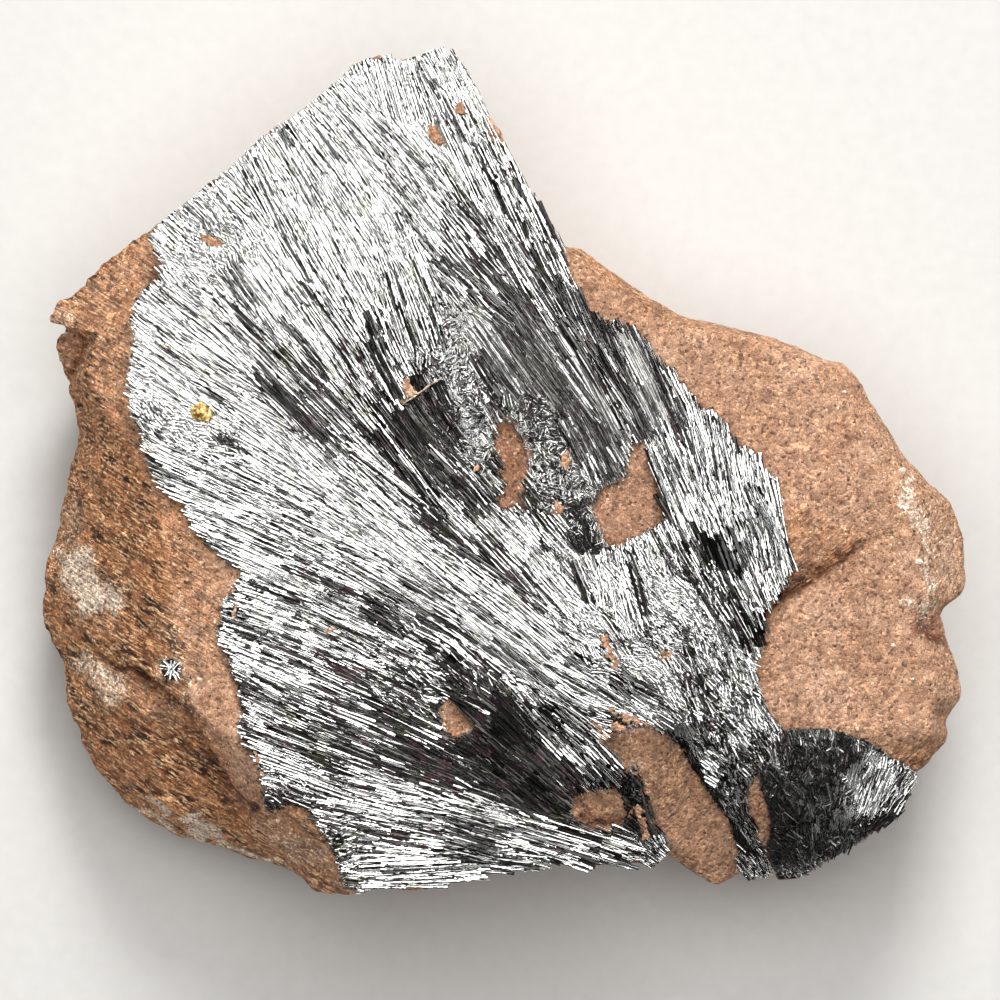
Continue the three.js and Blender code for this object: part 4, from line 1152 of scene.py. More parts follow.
@dataclass(frozen=True)
class SootyBed:
    """The massive, sooty pyrolusite under the blades: blackish grey, uneven and only half metallic."""

    dark: str = "#0c0b0b"
    light: str = "#2c2a28"
    sand: str = "#b98a72"
    deep_sand: str = "#7c4f3a"
    pale_sand: str = "#dcb8a4"

    def material(self) -> bpy.types.Material:
        """Builds the finish, with sand where the bed is marked as sandy and on its broken sides.

        Returns:
            The material.
        """
        made, node, place = started("sooty_pyrolusite")
        lumps = node(NOISE, {}, {"Vector": place, "Scale": 1 / (0.7 * MM), "Detail": 5.0, "Roughness": 0.65})
        soot = node(RAMP, {"stops": [(0.36, self.dark), (0.68, self.light)]}, (lumps,))
        marked = node("ShaderNodeAttribute", {"attribute_name": "sandy"}).outputs["Fac"]
        normal = node("ShaderNodeNewGeometry").outputs["True Normal"]
        facing = node(SEPARATE, {}, (normal,)).outputs["Z"]
        side = node(RANGE, {}, (facing, 0.75, 0.4, 0, 0.8))
        sandy = node(MATH, MOST, (marked, side))
        grains = node("ShaderNodeTexVoronoi", {}, {"Vector": place, "Scale": 1 / (0.25 * MM)})
        shade = node("ShaderNodeSeparateColor", {}, (grains.outputs["Color"],)).outputs["Red"]
        sands = [(0.0, self.deep_sand), (0.5, self.sand), (1.0, self.pale_sand)]
        sand = node(RAMP, {"stops": sands}, (shade,))
        surfaced(
            node,
            {
                "Base Color": node(MIX, OVERLAID, {"Factor": sandy, 6: soot, 7: sand}),
                "Metallic": node(MATH, LESS | {"use_clamp": True}, (0.7, sandy)),
                "Roughness": 0.6,
            },
            {"Strength": 0.7, "Distance": 0.3 * MM, "Height": lumps},
        )
        return made


@dataclass(frozen=True)
class WaxyGrain:
    """A small mineral grain: waxy, in patches of two or three shades that are also its relief."""

    name: str
    patch: float
    detail: float
    stops: tuple[tuple[float, str], ...]
    roughness: float
    strength: float
    relief: float

    def material(self) -> bpy.types.Material:
        """Builds the finish.

        Returns:
            The material.
        """
        made, node, place = started(self.name)
        scale = 1 / (self.patch * MM)
        patches = node(NOISE, {}, {"Vector": place, "Scale": scale, "Detail": self.detail, "Roughness": 0.6})
        surfaced(
            node,
            {"Base Color": node(RAMP, {"stops": self.stops}, (patches,)), "Roughness": self.roughness},
            {"Strength": self.strength, "Distance": self.relief * MM, "Height": patches},
        )
        return made


# Milky quartz: white, with a waxy lustre.
MILKY_QUARTZ = WaxyGrain(
    name="milky_quartz",
    patch=0.3,
    detail=3.0,
    stops=((0.36, "#d9c0a4"), (0.56, "#efe6da")),
    roughness=0.4,
    strength=0.4,
    relief=0.08,
)
# Limonite, the yellow iron ochre of such rocks: honey-coloured, with brown hollows.
LIMONITE = WaxyGrain(
    name="waxy_limonite",
    patch=0.42,
    detail=4.0,
    stops=((0.42, "#6b4416"), (0.5, "#d8b25a"), (0.6, "#f3e2a8")),
    roughness=0.38,
    strength=0.5,
    relief=0.12,
)


# ------------------------------------------------------------------ geometry trees


class MeshTree:
    """A geometry tree with a mesh in and out, and named inputs."""

    def __init__(self, name: str, sizes: dict[str, tuple[str, Any]]) -> None:
        """Starts the tree.

        Args:
            name: The tree's name.
            sizes: The inputs' names, each with its kind of socket and its usual value.
        """
        self.tree = bpy.data.node_groups.new(name, "GeometryNodeTree")
        self.node = partial(add, self.tree)
        face = self.tree.interface
        face.new_socket("Geometry", in_out="INPUT", socket_type="NodeSocketGeometry")
        face.new_socket("Geometry", in_out="OUTPUT", socket_type="NodeSocketGeometry")
        self.identifiers: dict[str, str] = {}
        for label, (kind, usual) in sizes.items():
            socket = face.new_socket(label, in_out="INPUT", socket_type=f"NodeSocket{kind}")
            if usual is not None:
                socket.default_value = usual
            self.identifiers[label] = socket.identifier
        self.given = self.node("NodeGroupInput").outputs

    def apply(self, piece: bpy.types.Object, values: dict[str, Any]) -> None:
        """Runs the tree on a piece and keeps the result as its mesh.

        Args:
            piece: The object.
            values: A value for every input, under its name in lower case with underscores.
        """
        block = piece.modifiers.new(self.tree.name, "NODES")
        block.node_group = self.tree
        for label, identifier in self.identifiers.items():
            block[identifier] = values[label.lower().replace(" ", "_")]
        settle(piece)


class Weathering(MeshTree):
    """The tree that gives a broken face its lumps, ledges and pits.

    The mesh carries flank, which says how old and rough a face is.
    """

    dip = (0.3, 0.25, math.radians(37))
    beds = (9 * MM, 1.3 * MM, 2.4 * MM)
    grain = 1.2 * MM
    still_below = 0.3 * MM
    free_above = 2 * MM

    def __init__(self) -> None:
        """Builds the tree."""
        usual = {"Lump Height": 0.5, "Lump Size": 5, "Ledge Height": 0.25, "Grain Height": 0.1, "Growth": 0.1}
        sizes = {label: ("Float", size * MM) for label, size in usual.items()}
        super().__init__("weathering", sizes | {"Seed": ("Float", 0.0)})
        node, given = self.node, self.given
        place = node("GeometryNodeInputPosition")
        flank = node(ATTRIBUTE, NUMBER, {"Name": "flank"})
        rough = node(MATH, PLUS, (node(MATH, TIMES, (flank, 0.8)), 0.2))
        # the ledges' noise is drawn out along the beds
        turned = node(
            "ShaderNodeVectorRotate",
            {"rotation_type": "EULER_XYZ"},
            {"Vector": place, "Rotation": self.dip},
        )
        beds = node(VECTOR_MATH, TIMES, (turned, tuple(1 / size for size in self.beds)))
        swells = []
        for vector, scale, detail, tall in (
            (place, node(MATH, OVER, (1.0, given["Lump Size"])), 3.0, given["Lump Height"]),
            (beds, 1.0, 2.0, given["Ledge Height"]),
            (place, 1 / self.grain, 4.0, given["Grain Height"]),
        ):
            swell = node(
                NOISE,
                {"noise_dimensions": "4D"},
                {"Vector": vector, "W": given["Seed"], "Scale": scale, "Detail": detail},
            )
            swells.append(node(MATH, TIMES, (node(MATH, LESS, (swell, 0.5)), tall)))
        lumps, ledges, grains = swells
        lumps, ledges = node(MATH, TIMES, (lumps, rough)), node(MATH, TIMES, (ledges, flank))
        grains = node(MATH, PLUS, (grains, given["Growth"]))
        height = node(MATH, PLUS, (node(MATH, PLUS, (lumps, ledges)), grains))
        # the resting face stays flat
        level = node(SEPARATE, {}, (place,)).outputs["Z"]
        free = node(RANGE, {}, (level, self.still_below, self.free_above))
        shift = node(MATH, TIMES, (height, free))
        moved = node(VECTOR_MATH, SCALED, {0: node("GeometryNodeInputNormal"), "Scale": shift})
        shaped = node("GeometryNodeSetPosition", {}, {"Geometry": given["Geometry"], "Offset": moved})
        node("NodeGroupOutput", {}, (shaped,))


class BladeSpray(MeshTree):
    """The tree that lays sheaves of blades over a bed, along its grain.

    The bed carries, on its points, the blades' direction as grain and the way they face as lay, the
    room for them each way as ahead, behind and room, and the painted sheen with soot and the painted
    turned-away shade. A named attribute says how thickly they lie.
    """

    most_blades = 16.0
    least_length = 0.45 * MM

    def __init__(self) -> None:
        """Builds the tree."""
        super().__init__(
            "blade_spray",
            {
                "Sheaves": ("Collection", None),
                "Where": ("String", "open"),
                "Per Square Metre": ("Float", 1e6),
                "Shortest": ("Float", 4 * MM),
                "Longest": ("Float", 9 * MM),
                "Girth": ("Float", 1.0),
                "Lift": ("Float", 0.3 * MM),
                "Sink": ("Float", 0.1 * MM),
                "Roll": ("Float", 0.3),
                "Rise": ("Float", 0.05),
                "Yaw": ("Float", 0.04),
                "Brightness": ("Float", 1.0),
                "Seed": ("Int", 1),
                "Finish": ("Material", None),
            },
        )
        node, given = self.node, self.given
        # what the points of the bed and of the sheaves carry
        where, ahead, behind, room, lustre, satin, grain, lay, sheaf, blade = (
            node(ATTRIBUTE, kind, {"Name": name})
            for kind, names in (
                (NUMBER, (given["Where"], "ahead", "behind", "room", "lustre", "satin")),
                (VECTOR, ("grain", "lay")),
                (WHOLE, ("sheaf", "blade")),
            )
            for name in names
        )
        # draws for each sheaf, each set apart from the others by its own seed
        span, roll, rise, yaw, thick, high = (
            node(RANDOM, NUMBER, {2: low, 3: top, "Seed": node(MATH, PLUS, (given["Seed"], apart))})
            for low, top, apart in (
                (given["Shortest"], given["Longest"], 11),
                (-1.0, 1.0, 21),
                (-1.0, 1.0, 22),
                (-1.0, 1.0, 23),
                (0.75, 1.3, 31),
                (0.0, 1.0, 41),
            )
        )
        density = node(MATH, TIMES, (given["Per Square Metre"], where))
        scattered = node(
            "GeometryNodeDistributePointsOnFaces",
            {"distribute_method": "RANDOM"},
            {"Mesh": given["Geometry"], "Density": density, "Seed": given["Seed"]},
        )
        points = node(
            STORE,
            WHOLE | ON_POINTS,
            {"Geometry": scattered, "Name": "sheaf", "Value": node("GeometryNodeInputIndex")},
        )
        # length, kept inside the crust and its gaps both ways
        half = node(MATH, TIMES, (span, 0.5))
        front, back = (node(MATH, LEAST, (half, far)) for far in (ahead, behind))
        length = node(MATH, MOST, (node(MATH, PLUS, (front, back)), self.least_length))
        shift = node(MATH, TIMES, (node(MATH, LESS, (front, back)), 0.5))
        girth = node(MATH, TIMES, (node(MATH, TIMES, (thick, given["Girth"])), room))
        lift = node(MATH, LESS, (node(MATH, TIMES, (high, given["Lift"])), given["Sink"]))
        # the sheaf's X runs along the grain, and its flat faces the way of the lay
        face = node(
            "FunctionNodeAxesToRotation",
            {"primary_axis": "X", "secondary_axis": "Z"},
            {"Primary Axis": grain, "Secondary Axis": lay},
        )
        swings = ((roll, given["Roll"]), (rise, given["Rise"]), (yaw, given["Yaw"]))
        swing = node(COMBINE, {}, tuple(node(MATH, TIMES, pair) for pair in swings))
        turn = node("FunctionNodeEulerToRotation", {}, (swing,))
        face = node("FunctionNodeRotateRotation", {"rotation_space": "LOCAL"}, (face, turn))
        slides = tuple(
            node(VECTOR_MATH, SCALED, {0: way, "Scale": far}) for way, far in ((grain, shift), (lay, lift))
        )
        offset = node(VECTOR_MATH, PLUS, slides)
        moved = node("GeometryNodeSetPosition", {}, {"Geometry": points, "Offset": offset})
        sheaves = node(
            "GeometryNodeCollectionInfo",
            {"transform_space": "ORIGINAL"},
            {"Collection": given["Sheaves"], "Separate Children": True, "Reset Children": True},
        )
        laid_out = node(
            "GeometryNodeInstanceOnPoints",
            {},
            {
                "Points": moved,
                "Instance": sheaves,
                "Pick Instance": True,
                "Rotation": face,
                "Scale": node(COMBINE, {}, (length, girth, girth)),
            },
        )
        blades = node("GeometryNodeRealizeInstances", {}, {"Geometry": laid_out})
        # each blade draws its own chance of being clean and painted bright, and takes its looks from the bed
        # at its middle
        number = node(MATH, {"operation": "MULTIPLY_ADD"}, (sheaf, self.most_blades, blade))
        chance = node(RANDOM, NUMBER, {2: 0.0, 3: 1.0, "ID": number, "Seed": given["Seed"]})
        total = node(
            "GeometryNodeAccumulateField",
            VECTOR | ON_POINTS,
            {0: node("GeometryNodeInputPosition"), "Group ID": number},
        ).outputs["Total"]
        middle = node(VECTOR_MATH, SCALED, {0: total, "Scale": 1 / BAR_CORNERS})
        lustre, satin = (
            node(
                "GeometryNodeSampleNearestSurface",
                NUMBER,
                {"Mesh": given["Geometry"], "Value": look, "Sample Position": middle},
            )
            for look in (lustre, satin)
        )
        # painted shade: the layer's factor scales the share of bright blades, so that the deep layer is
        # painted darker under those above
        lustre = node(MATH, TIMES, (lustre, given["Brightness"]))
        for name, value in (("chance", chance), ("lustre", lustre), ("satin", satin)):
            blades = node(STORE, NUMBER | ON_POINTS, {"Geometry": blades, "Name": name, "Value": value})
        dressed = node("GeometryNodeSetMaterial", {}, {"Geometry": blades, "Material": given["Finish"]})
        node("NodeGroupOutput", {}, (dressed,))


# ------------------------------------------------------------------ blades


@dataclass
class Bars:
    """Three-sided bars with their flats up, and the map of each: along it, and across.

    Across runs from -1 to 1 over the flat, and beyond 1 down the sides and over the ends.
    """

    sides: tuple[tuple[int, int], ...] = ((1, -1), (-1, -2), (2, 1))
    over_end: float = 1.6
    points: list[tuple[float, float, float]] = field(default_factory=list)
    faces: list[tuple[int, ...]] = field(default_factory=list)
    places: list[tuple[float, float]] = field(default_factory=list)

    def add(self, corners: list[tuple[float, float, float]], start: float, end: float) -> None:
        """Adds a bar.

        Args:
            corners: The left, right and lower corner of its start, and then those of its end.
            start: Where it starts along the map.
            end: Where it ends.
        """
        a = len(self.points)
        b = a + 3
        self.points += corners
        for i, (v, w) in enumerate(self.sides):
            j = (i + 1) % 3
            self.faces.append((a + i, a + j, b + j, b + i))
            self.places += [(start, v), (start, w), (end, w), (end, v)]
        self.faces += [(a, a + 2, a + 1), (b, b + 1, b + 2)]
        self.places += [(start, self.over_end)] * 3 + [(end, self.over_end)] * 3

    def mesh(self, name: str) -> bpy.types.Mesh:
        """Makes the bars one mesh.

        Args:
            name: The mesh's name.

        Returns:
            The mesh, with its map.
        """
        made = bpy.data.meshes.new(name)
        made.from_pydata(self.points, [], self.faces)
        unwrapped = made.uv_layers.new(name="along")
        unwrapped.data.foreach_set("uv", np.array(self.places, dtype=np.float32).ravel())
        return made


@dataclass
class SheafMaker:
    """Makes the few different sheaves of blades that every spray is laid from.

    A sheaf lies along X, one unit long, so that its scale is its length. Each blade narrows one way
    or both, and a sheaf's blades are staggered, as grown.
    """

    kinds: int = 8
    blades: int = 7
    width: float = 2.0 * MM
    seed: int = 5

    def collection(self) -> bpy.types.Collection:
        """Makes the sheaves.

        Returns:
            A collection of them, outside the scene.
        """
        rng = np.random.default_rng(self.seed)
        made = bpy.data.collections.new("sheaves")
        for kind in range(self.kinds):
            made.objects.link(self._sheaf(rng, f"sheaf_{kind}"))
        return made

    def _sheaf(self, rng: np.random.Generator, name: str) -> bpy.types.Object:
        """Makes one sheaf.

        Args:
            rng: The source of its differences.
            name: Its name.

        Returns:
            The object.
        """
        bars = Bars()
        pitch = self.width / self.blades
        for blade in range(self.blades):
            middle = (blade + 0.5 + rng.uniform(-0.3, 0.3)) * pitch - self.width / 2
            half = pitch * rng.uniform(0.42, 0.78)
            depth = rng.uniform(0.14, 0.24) * MM
            top = rng.uniform(-0.08, 0.1) * MM - 0.1 * middle * middle / MM
            roll = rng.normal(0, 0.19)
            start, end = -0.5 + rng.uniform(0, 0.2), 0.5 - rng.uniform(0, 0.2)
            narrow = rng.permutation([rng.uniform(0.06, 0.5), rng.uniform(0.55, 1.0)])
            skew = rng.normal(0, 0.05) * MM
            corners = [
                (x, middle + slide + side * share, top + drop * share)
                for x, slide, share in ((start, -skew, narrow[0]), (end, skew, narrow[1]))
                for side, drop in ((half, roll * half), (-half, -roll * half), (0, -depth))
            ]
            bars.add(corners, start, end)
        mesh = bars.mesh(name)
        layer = mesh.attributes.new("blade", "INT", "POINT")
        layer.data.foreach_set("value", np.repeat(np.arange(self.blades, dtype=np.int32), BAR_CORNERS))
        return bpy.data.objects.new(name, mesh)


# ------------------------------------------------------------------ the specimen's parts


@dataclass(frozen=True)
class Wear:
    """How a face has weathered. Every field is an input of the tree that weathers it."""

    lump_height: float
    lump_size: float
    ledge_height: float
    grain_height: float
    growth: float
    seed: float


@dataclass
class HostRock:
    """The slab of broken sandstone.

    West, south and east say where the flank's faces turn older or fresher, and over what width. Along
    a crust the rock is dusty. Its rim looks for the crust over its reach, and closes up by its shift.
    These places and sizes are in millimetres, and the voxel and the wear in metres.
    """

    voxel: float = 0.46 * MM
    wear: Wear = Wear(
        lump_height=1.5 * MM,
        lump_size=5.5 * MM,
        ledge_height=1.2 * MM,
        grain_height=0.5 * MM,
        growth=0.15 * MM,
        seed=3.0,
    )
    steep_below: float = 0.985
    west: tuple[float, float] = (-24.0, 14.0)
    south: tuple[float, float] = (-24.0, 6.0)
    east: tuple[float, float] = (18.0, 4.0)
    fold_stain: float = 0.7
    dust: float = 0.45
    dust_width: float = 0.7
    rim_reach: float = 0.75
    rim_shift: float = 0.34
    rim_level: float = 12.0

    def build(
        self, crusts: list[CrustPlan], weathering: Weathering, finish: bpy.types.Material
    ) -> bpy.types.Object:
        """Weathers the solid and dresses it.

        Args:
            crusts: The crusts that grow on it.
            weathering: The tree that roughens it.
            finish: The finish of the sandstone.

        Returns:
            The piece.
        """
        piece = merged_copy("host_rock", "sandstone_slab")
        remesh(piece, self.voxel)
        self._crease(piece.data)
        self._survey(piece.data, crusts)
        weathering.apply(piece, vars(self.wear))
        for crust in crusts:
            self._close_up(piece.data, crust)
        finish_piece(piece, "host_rock", finish, smooth=True)
        return piece

    def _crease(self, mesh: bpy.types.Mesh) -> None:
        """Presses the fine creases into the upper side, and stores the darker marks, painted darker still
        down each crease as painted shade.

        Args:
            mesh: The slab's mesh.
        """
        where, facing = surface_of(mesh)
        x, y = ragged(where[:, 0], where[:, 1], 0.5, 2.2)
        fall = np.zeros(len(x))
        stain = laid(*ragged(where[:, 0], where[:, 1], 0.5, 1.1), 0.0, STAINS_AND_PAINTED_SHADE)
        # painted shade: the rock is painted darker down in every crease
        for fold in FOLDS:
            own = fold.fall(x, y)
            fall = np.maximum(fall, own)
            stain = np.maximum(stain, self.fold_stain * (own / fold.depth) ** 2)
        upper = facing[:, 2] > 0.15
        store(mesh, "stain", stain * upper)
        move(mesh, where - facing * (fall * upper)[:, None])

    def _survey(self, mesh: bpy.types.Mesh, crusts: list[CrustPlan]) -> None:
        """Marks the old joint faces of the flank, and the bruises and pale dust along the crusts.

        Args:
            mesh: The slab's mesh.
            crusts: The crusts that grow on it.
        """
        where, facing = surface_of(mesh)
        x, y = where[:, 0], where[:, 1]
        steep = np.clip((self.steep_below - facing[:, 2]) / 0.3, 0, 1)
        west = np.clip((self.west[0] - x) / self.west[1], 0, 1)
        south = np.clip((self.south[0] - y) / self.south[1], 0, 1)
        east = np.clip((x - self.east[0]) / self.east[1], 0, 1)
        flank = np.clip(0.25 * west + 0.55 * south + steep * (0.55 + 0.35 * west - 0.35 * east), 0, 1)
        # the windows' floors and the near edge keep some of the rust, and the step's slope and foot are
        # painted darker as shade
        flank = laid(x, y, 0.0, HALF_FRESH_AND_PAINTED_SHADE) + flank * (1 - laid(x, y, 0.0, NEAR_EDGE))
        store(mesh, "flank", np.clip(flank, 0, 1))
        bruise = laid(*ragged(x, y, 1.2, 1.6), 0.0, BRUISES) * (facing[:, 2] > 0.1)
        for crust in crusts:
            close = [crust.filled[crust.cells(*near)] for near in around(x, y, self.dust_width)]
            bruise = np.maximum(bruise, np.any(close, axis=0) * self.dust)
        store(mesh, "bruise", bruise)

    def _close_up(self, mesh: bpy.types.Mesh, crust: CrustPlan) -> None:
        """Moves the rim of the rock up against a crust.

        Args:
            mesh: The slab's mesh.
            crust: The crust.
        """
        where, facing = surface_of(mesh)
        flat = facing[:, :2] / (np.linalg.norm(facing[:, :2], axis=1, keepdims=True) + 1e-9)
        towards = where[:, :2] + flat * self.rim_reach
        meets = crust.filled[crust.cells(towards[:, 0], towards[:, 1])]
        moves = meets & (facing[:, 2] < 0.9) & (where[:, 2] > self.rim_level)
        where[moves, :2] += flat[moves] * self.rim_shift
        move(mesh, where)


@dataclass
class QuartzGrains:
    """The few white grains that stand out of the broken rock."""

    seed: int = 21

    def build(self, rock: bpy.types.Object) -> None:
        """Sets each grain in the rock's surface.

        Args:
            rock: The finished slab.
        """
        rng = np.random.default_rng(self.seed)
        work = bmesh.new()
        for x, y, width in QUARTZ:
            hit, place, _, _ = rock.ray_cast(Vector((x * MM, y * MM, 0.1)), Vector((0, 0, -1)))
            if not hit:
                continue
            made = bmesh.ops.create_icosphere(work, subdivisions=1, radius=width / 2 * MM)
            stretch = rng.uniform(0.6, 1.1, 3)
            for vertex in made["verts"]:
                rough = 1 + rng.uniform(-0.25, 0.25)
                vertex.co = Vector([c * k * rough for c, k in zip(vertex.co, stretch)]) + place
        mesh = bpy.data.meshes.new("quartz_grains")
        work.to_mesh(mesh)
        work.free()
        piece = placed("quartz_grains", mesh)
        finish_piece(piece, "host_rock", MILKY_QUARTZ.material(), smooth=False)


@dataclass
class CaughtSand:
    """The sand caught between the blades, in thin ragged crusts of its own. Sizes are in millimetres."""

    cell: float = 0.09
    margin: float = 0.8
    facet_radius: float = 0.3
    sunk: float = 0.25
    thickness: float = 0.62
    grain_height: float = 0.2
    seed: int = 7

    def build(self, ground: CrustPlan, finish: bpy.types.Material) -> None:
        """Lays the sand over the crust.

        Args:
            ground: The crust's plan.
            finish: The finish of the sand.
        """
        rng = np.random.default_rng(self.seed)
        points: list[np.ndarray] = []
        faces: list[np.ndarray] = []
        paleness: list[np.ndarray] = []
        count = 0
        for patch in SAND:
            straight = isinstance(patch, Facet)
            ends = np.array(patch.corners if straight else (patch.start, patch.end), dtype=float)
            wide = self.facet_radius if straight else patch.radius
            low, high = ends.min(0) - wide - self.margin, ends.max(0) + wide + self.margin
            x, y = np.meshgrid(*(np.arange(a, b, self.cell) for a, b in zip(low, high)))
            cover = patch.cover(*ragged(x, y, min(0.4, 0.8 * wide), 0.36))
            cells = ground.cells(x, y)
            level = ground.even[cells] - self.sunk + self.thickness * np.clip(cover * 1.6, 0, 1)
            z = level + self.grain_height * rng.uniform(-0.5, 0.5, x.shape)
            thick = cover > 0.3
            inside = thick[:-1, :-1] & thick[1:, 1:] & ground.filled[cells][1:, 1:]
            index = np.arange(x.size).reshape(x.shape) + count
            corners = [index[:-1, :-1], index[:-1, 1:], index[1:, 1:], index[1:, :-1]]
            faces.append(np.stack([c[inside] for c in corners], axis=1))
            points.append(np.stack([x, y, z], axis=2).reshape(-1, 3) * MM)
            paleness.append(np.full(x.size, 1.15 - patch.value))
            count += x.size
        mesh = bpy.data.meshes.new("caught_sand")
        mesh.from_pydata(np.concatenate(points).tolist(), [], np.concatenate(faces).tolist())
        store(mesh, "bruise", np.concatenate(paleness))
        work = bmesh.new()
        work.from_mesh(mesh)
        loose = [vertex for vertex in work.verts if not vertex.link_faces]
        bmesh.ops.delete(work, geom=loose, context="VERTS")
        work.to_mesh(mesh)
        work.free()
        store(mesh, "flank", np.full(len(mesh.vertices), 0.2))
        finish_piece(placed("caught_sand", mesh), "main_crust", finish, smooth=True)


@dataclass
class Layer:
    """One layer of sheaves in a spray: where it lies, how thickly, and how the sheaves are sized.

    Every field but the name is an input of the tree that lays the sheaves.
    """

    name: str
    where: str
    per_square_metre: float
    shortest: float
    longest: float
    girth: float = 1.0
    lift: float = 0.3 * MM
    sink: float = 0.1 * MM
    roll: float = 0.2
    rise: float = 0.03
    yaw: float = 0.04
    # below 1, the layer's blades are painted darker, as painted shade under the blades above
    brightness: float = 1.0
    seed: int = 1


@dataclass
class Spray:
    """A spray of pyrolusite: its sooty bed, and the layers of blades that lie on it.

    The marks are in millimetres. Lanes set the painted sheen outright, and level says where the
    blades lie flat under the lamp. Bundles of two widths differ in painted sheen, as far as bundling and
    bands say. Blades face the way of the bed, in part with its ridges. The sheen marks and Lanes paint
    soot and painted sheen and shade, and the turned-away marks paint the shade of clean blades turned away.
    """

    node: str
    slot: str
    layers: tuple[Layer, ...]
    voxel: float = 0.42 * MM
    lustre: float = 0.86
    soot_and_painted_sheen_marks: Marks = ()
    upset: Marks = ()
    wild: Marks = ()
    gaps: Marks = ()
    satin: float = 0.0
    turned_away_painted_shade_marks: Marks = ()
    bands: Marks = ()
    soot_and_painted_lanes: Marks = ()
    level: Marks = ()
    rim_sand: float = 0.8
    root: tuple[float, float] | None = None
    bundling: float = 0.13
    bundles: tuple[tuple[float, float, float], ...] = ((0.5, 0.9, 7.0), (0.7, 0.32, 6.0))
    ridge_share: float = 0.38
    rim_width: float = 0.45
    deepest: float = 0.9
    sunk: float = 0.3
    spent: tuple[str, ...] = (
        *("grain", "lay", "ahead", "behind", "room"),
        *("cover", "under", "open", "upset", "wild", "sheaf", "blade"),
    )
    bed: bpy.types.Object = field(init=False)
    ground: CrustPlan = field(init=False)

    def plan(self) -> CrustPlan:
        """Measures the spray from above.

        Returns:
            The plan, with its gaps cut.
        """
        self.bed = merged_copy(self.node, f"{self.node}_bed")
        self.ground = CrustPlan(self.bed.data)
        self.ground.cut((*self.gaps, *SAND), self.upset)
        return self.ground

    def build(
        self,
        tree: BladeSpray,
        sheaves: bpy.types.Collection,
        bed_finish: bpy.types.Material,
        blade_finish: bpy.types.Material,
    ) -> None:
        """Builds the bed and lays the blades on it.

        Args:
            tree: The tree that lays them.
            sheaves: The sheaves to lay.
            bed_finish: The finish of the bed.
            blade_finish: The finish of the blades.
        """
        remesh(self.bed, self.voxel)
        self._survey(self.bed.data)
        for layer in self.layers:
            blades = placed(f"{self.node}_{layer.name}", self.bed.data.copy())
            tree.apply(blades, vars(layer) | {"sheaves": sheaves, "finish": blade_finish})
            self._trim(blades.data)
            finish_piece(blades, self.node, blade_finish, smooth=False)
        # the bed's top sinks under the blades
        where, facing = surface_of(self.bed.data)
        where[:, 2] -= np.clip(facing[:, 2], 0, 1) * self.sunk
        move(self.bed.data, where)
        self._trim(self.bed.data)
        finish_piece(self.bed, self.node, bed_finish, smooth=True)

    def _survey(self, mesh: bpy.types.Mesh) -> None:
        """Marks each point of the bed with the run, room and look of the blades there.

        Args:
            mesh: The bed's mesh.
        """
        where, facing = surface_of(mesh)
        x, y = where[:, 0], where[:, 1]
        if self.root is None:
            heading = heading_at(x, y)
        else:
            heading = np.arctan2(self.root[1] - y, self.root[0] - x)
        self._survey_run(mesh, where, facing, heading)
        # blades lie only on the upper side
        cells = self.ground.cells(x, y)
        above = where[:, 2] - self.ground.even[cells]
        cover = np.clip((facing[:, 2] + 0.1) / 0.3, 0, 1) * (above > -self.deepest)
        tumble = laid(*ragged(x, y, 0.8, 1.2), 0.0, self.upset)
        wild = laid(x, y, 0.0, self.wild)
        opened = cover * self.ground.open[cells]
        # bundles differ: each kind has its weight, its width and its length
        along, across = bundle_at(x, y)
        bundles = sum(
            weight * cloud(across / wide, along / long, seed)
            for seed, (weight, wide, long) in enumerate(self.bundles, 5)
        )
        # painted sheen and painted shade, with soot: the share of clean, bright blades at each place
        lustre = laid(*ragged(x, y, 0.7, 1.5), self.lustre, self.soot_and_painted_sheen_marks)
        lustre += laid(x, y, self.bundling, self.bands) * bundles
        near = ragged(x, y, 0.2, 0.7)
        soot_and_painted_lanes = laid(*near, 0.0, [replace(lane, value=1.0) for lane in self.soot_and_painted_lanes])
        levels = laid(*near, 0.0, self.soot_and_painted_lanes)
        # sandstone still clings to the rim of the bed
        edge = [~self.ground.filled[self.ground.cells(*at)] for at in around(x, y, self.rim_width)]
        for name, values in {
            "cover": cover,
            "under": cover * (1 - tumble),
            "open": opened * (1 - tumble),
            "upset": opened * tumble * (1 - wild),
            "wild": opened * tumble * wild,
            "lustre": np.where(soot_and_painted_lanes > 0.02, lustre * (1 - soot_and_painted_lanes) + levels, lustre),
            "satin": laid(*ragged(x, y, 0.7, 1.5), self.satin, self.turned_away_painted_shade_marks),
            "sandy": np.any(edge, axis=0) * self.rim_sand,
        }.items():
            store(mesh, name, values)

    def _survey_run(
        self, mesh: bpy.types.Mesh, where: np.ndarray, facing: np.ndarray, heading: np.ndarray
    ) -> None:
        """Marks each point of the bed with how a blade lies there and how far it may run.

        Args:
            mesh: The bed's mesh.
            where: The places of its points, in millimetres.
            facing: The ways they face.
            heading: The run of the blades, in radians.
        """
        x, y = where[:, 0], where[:, 1]
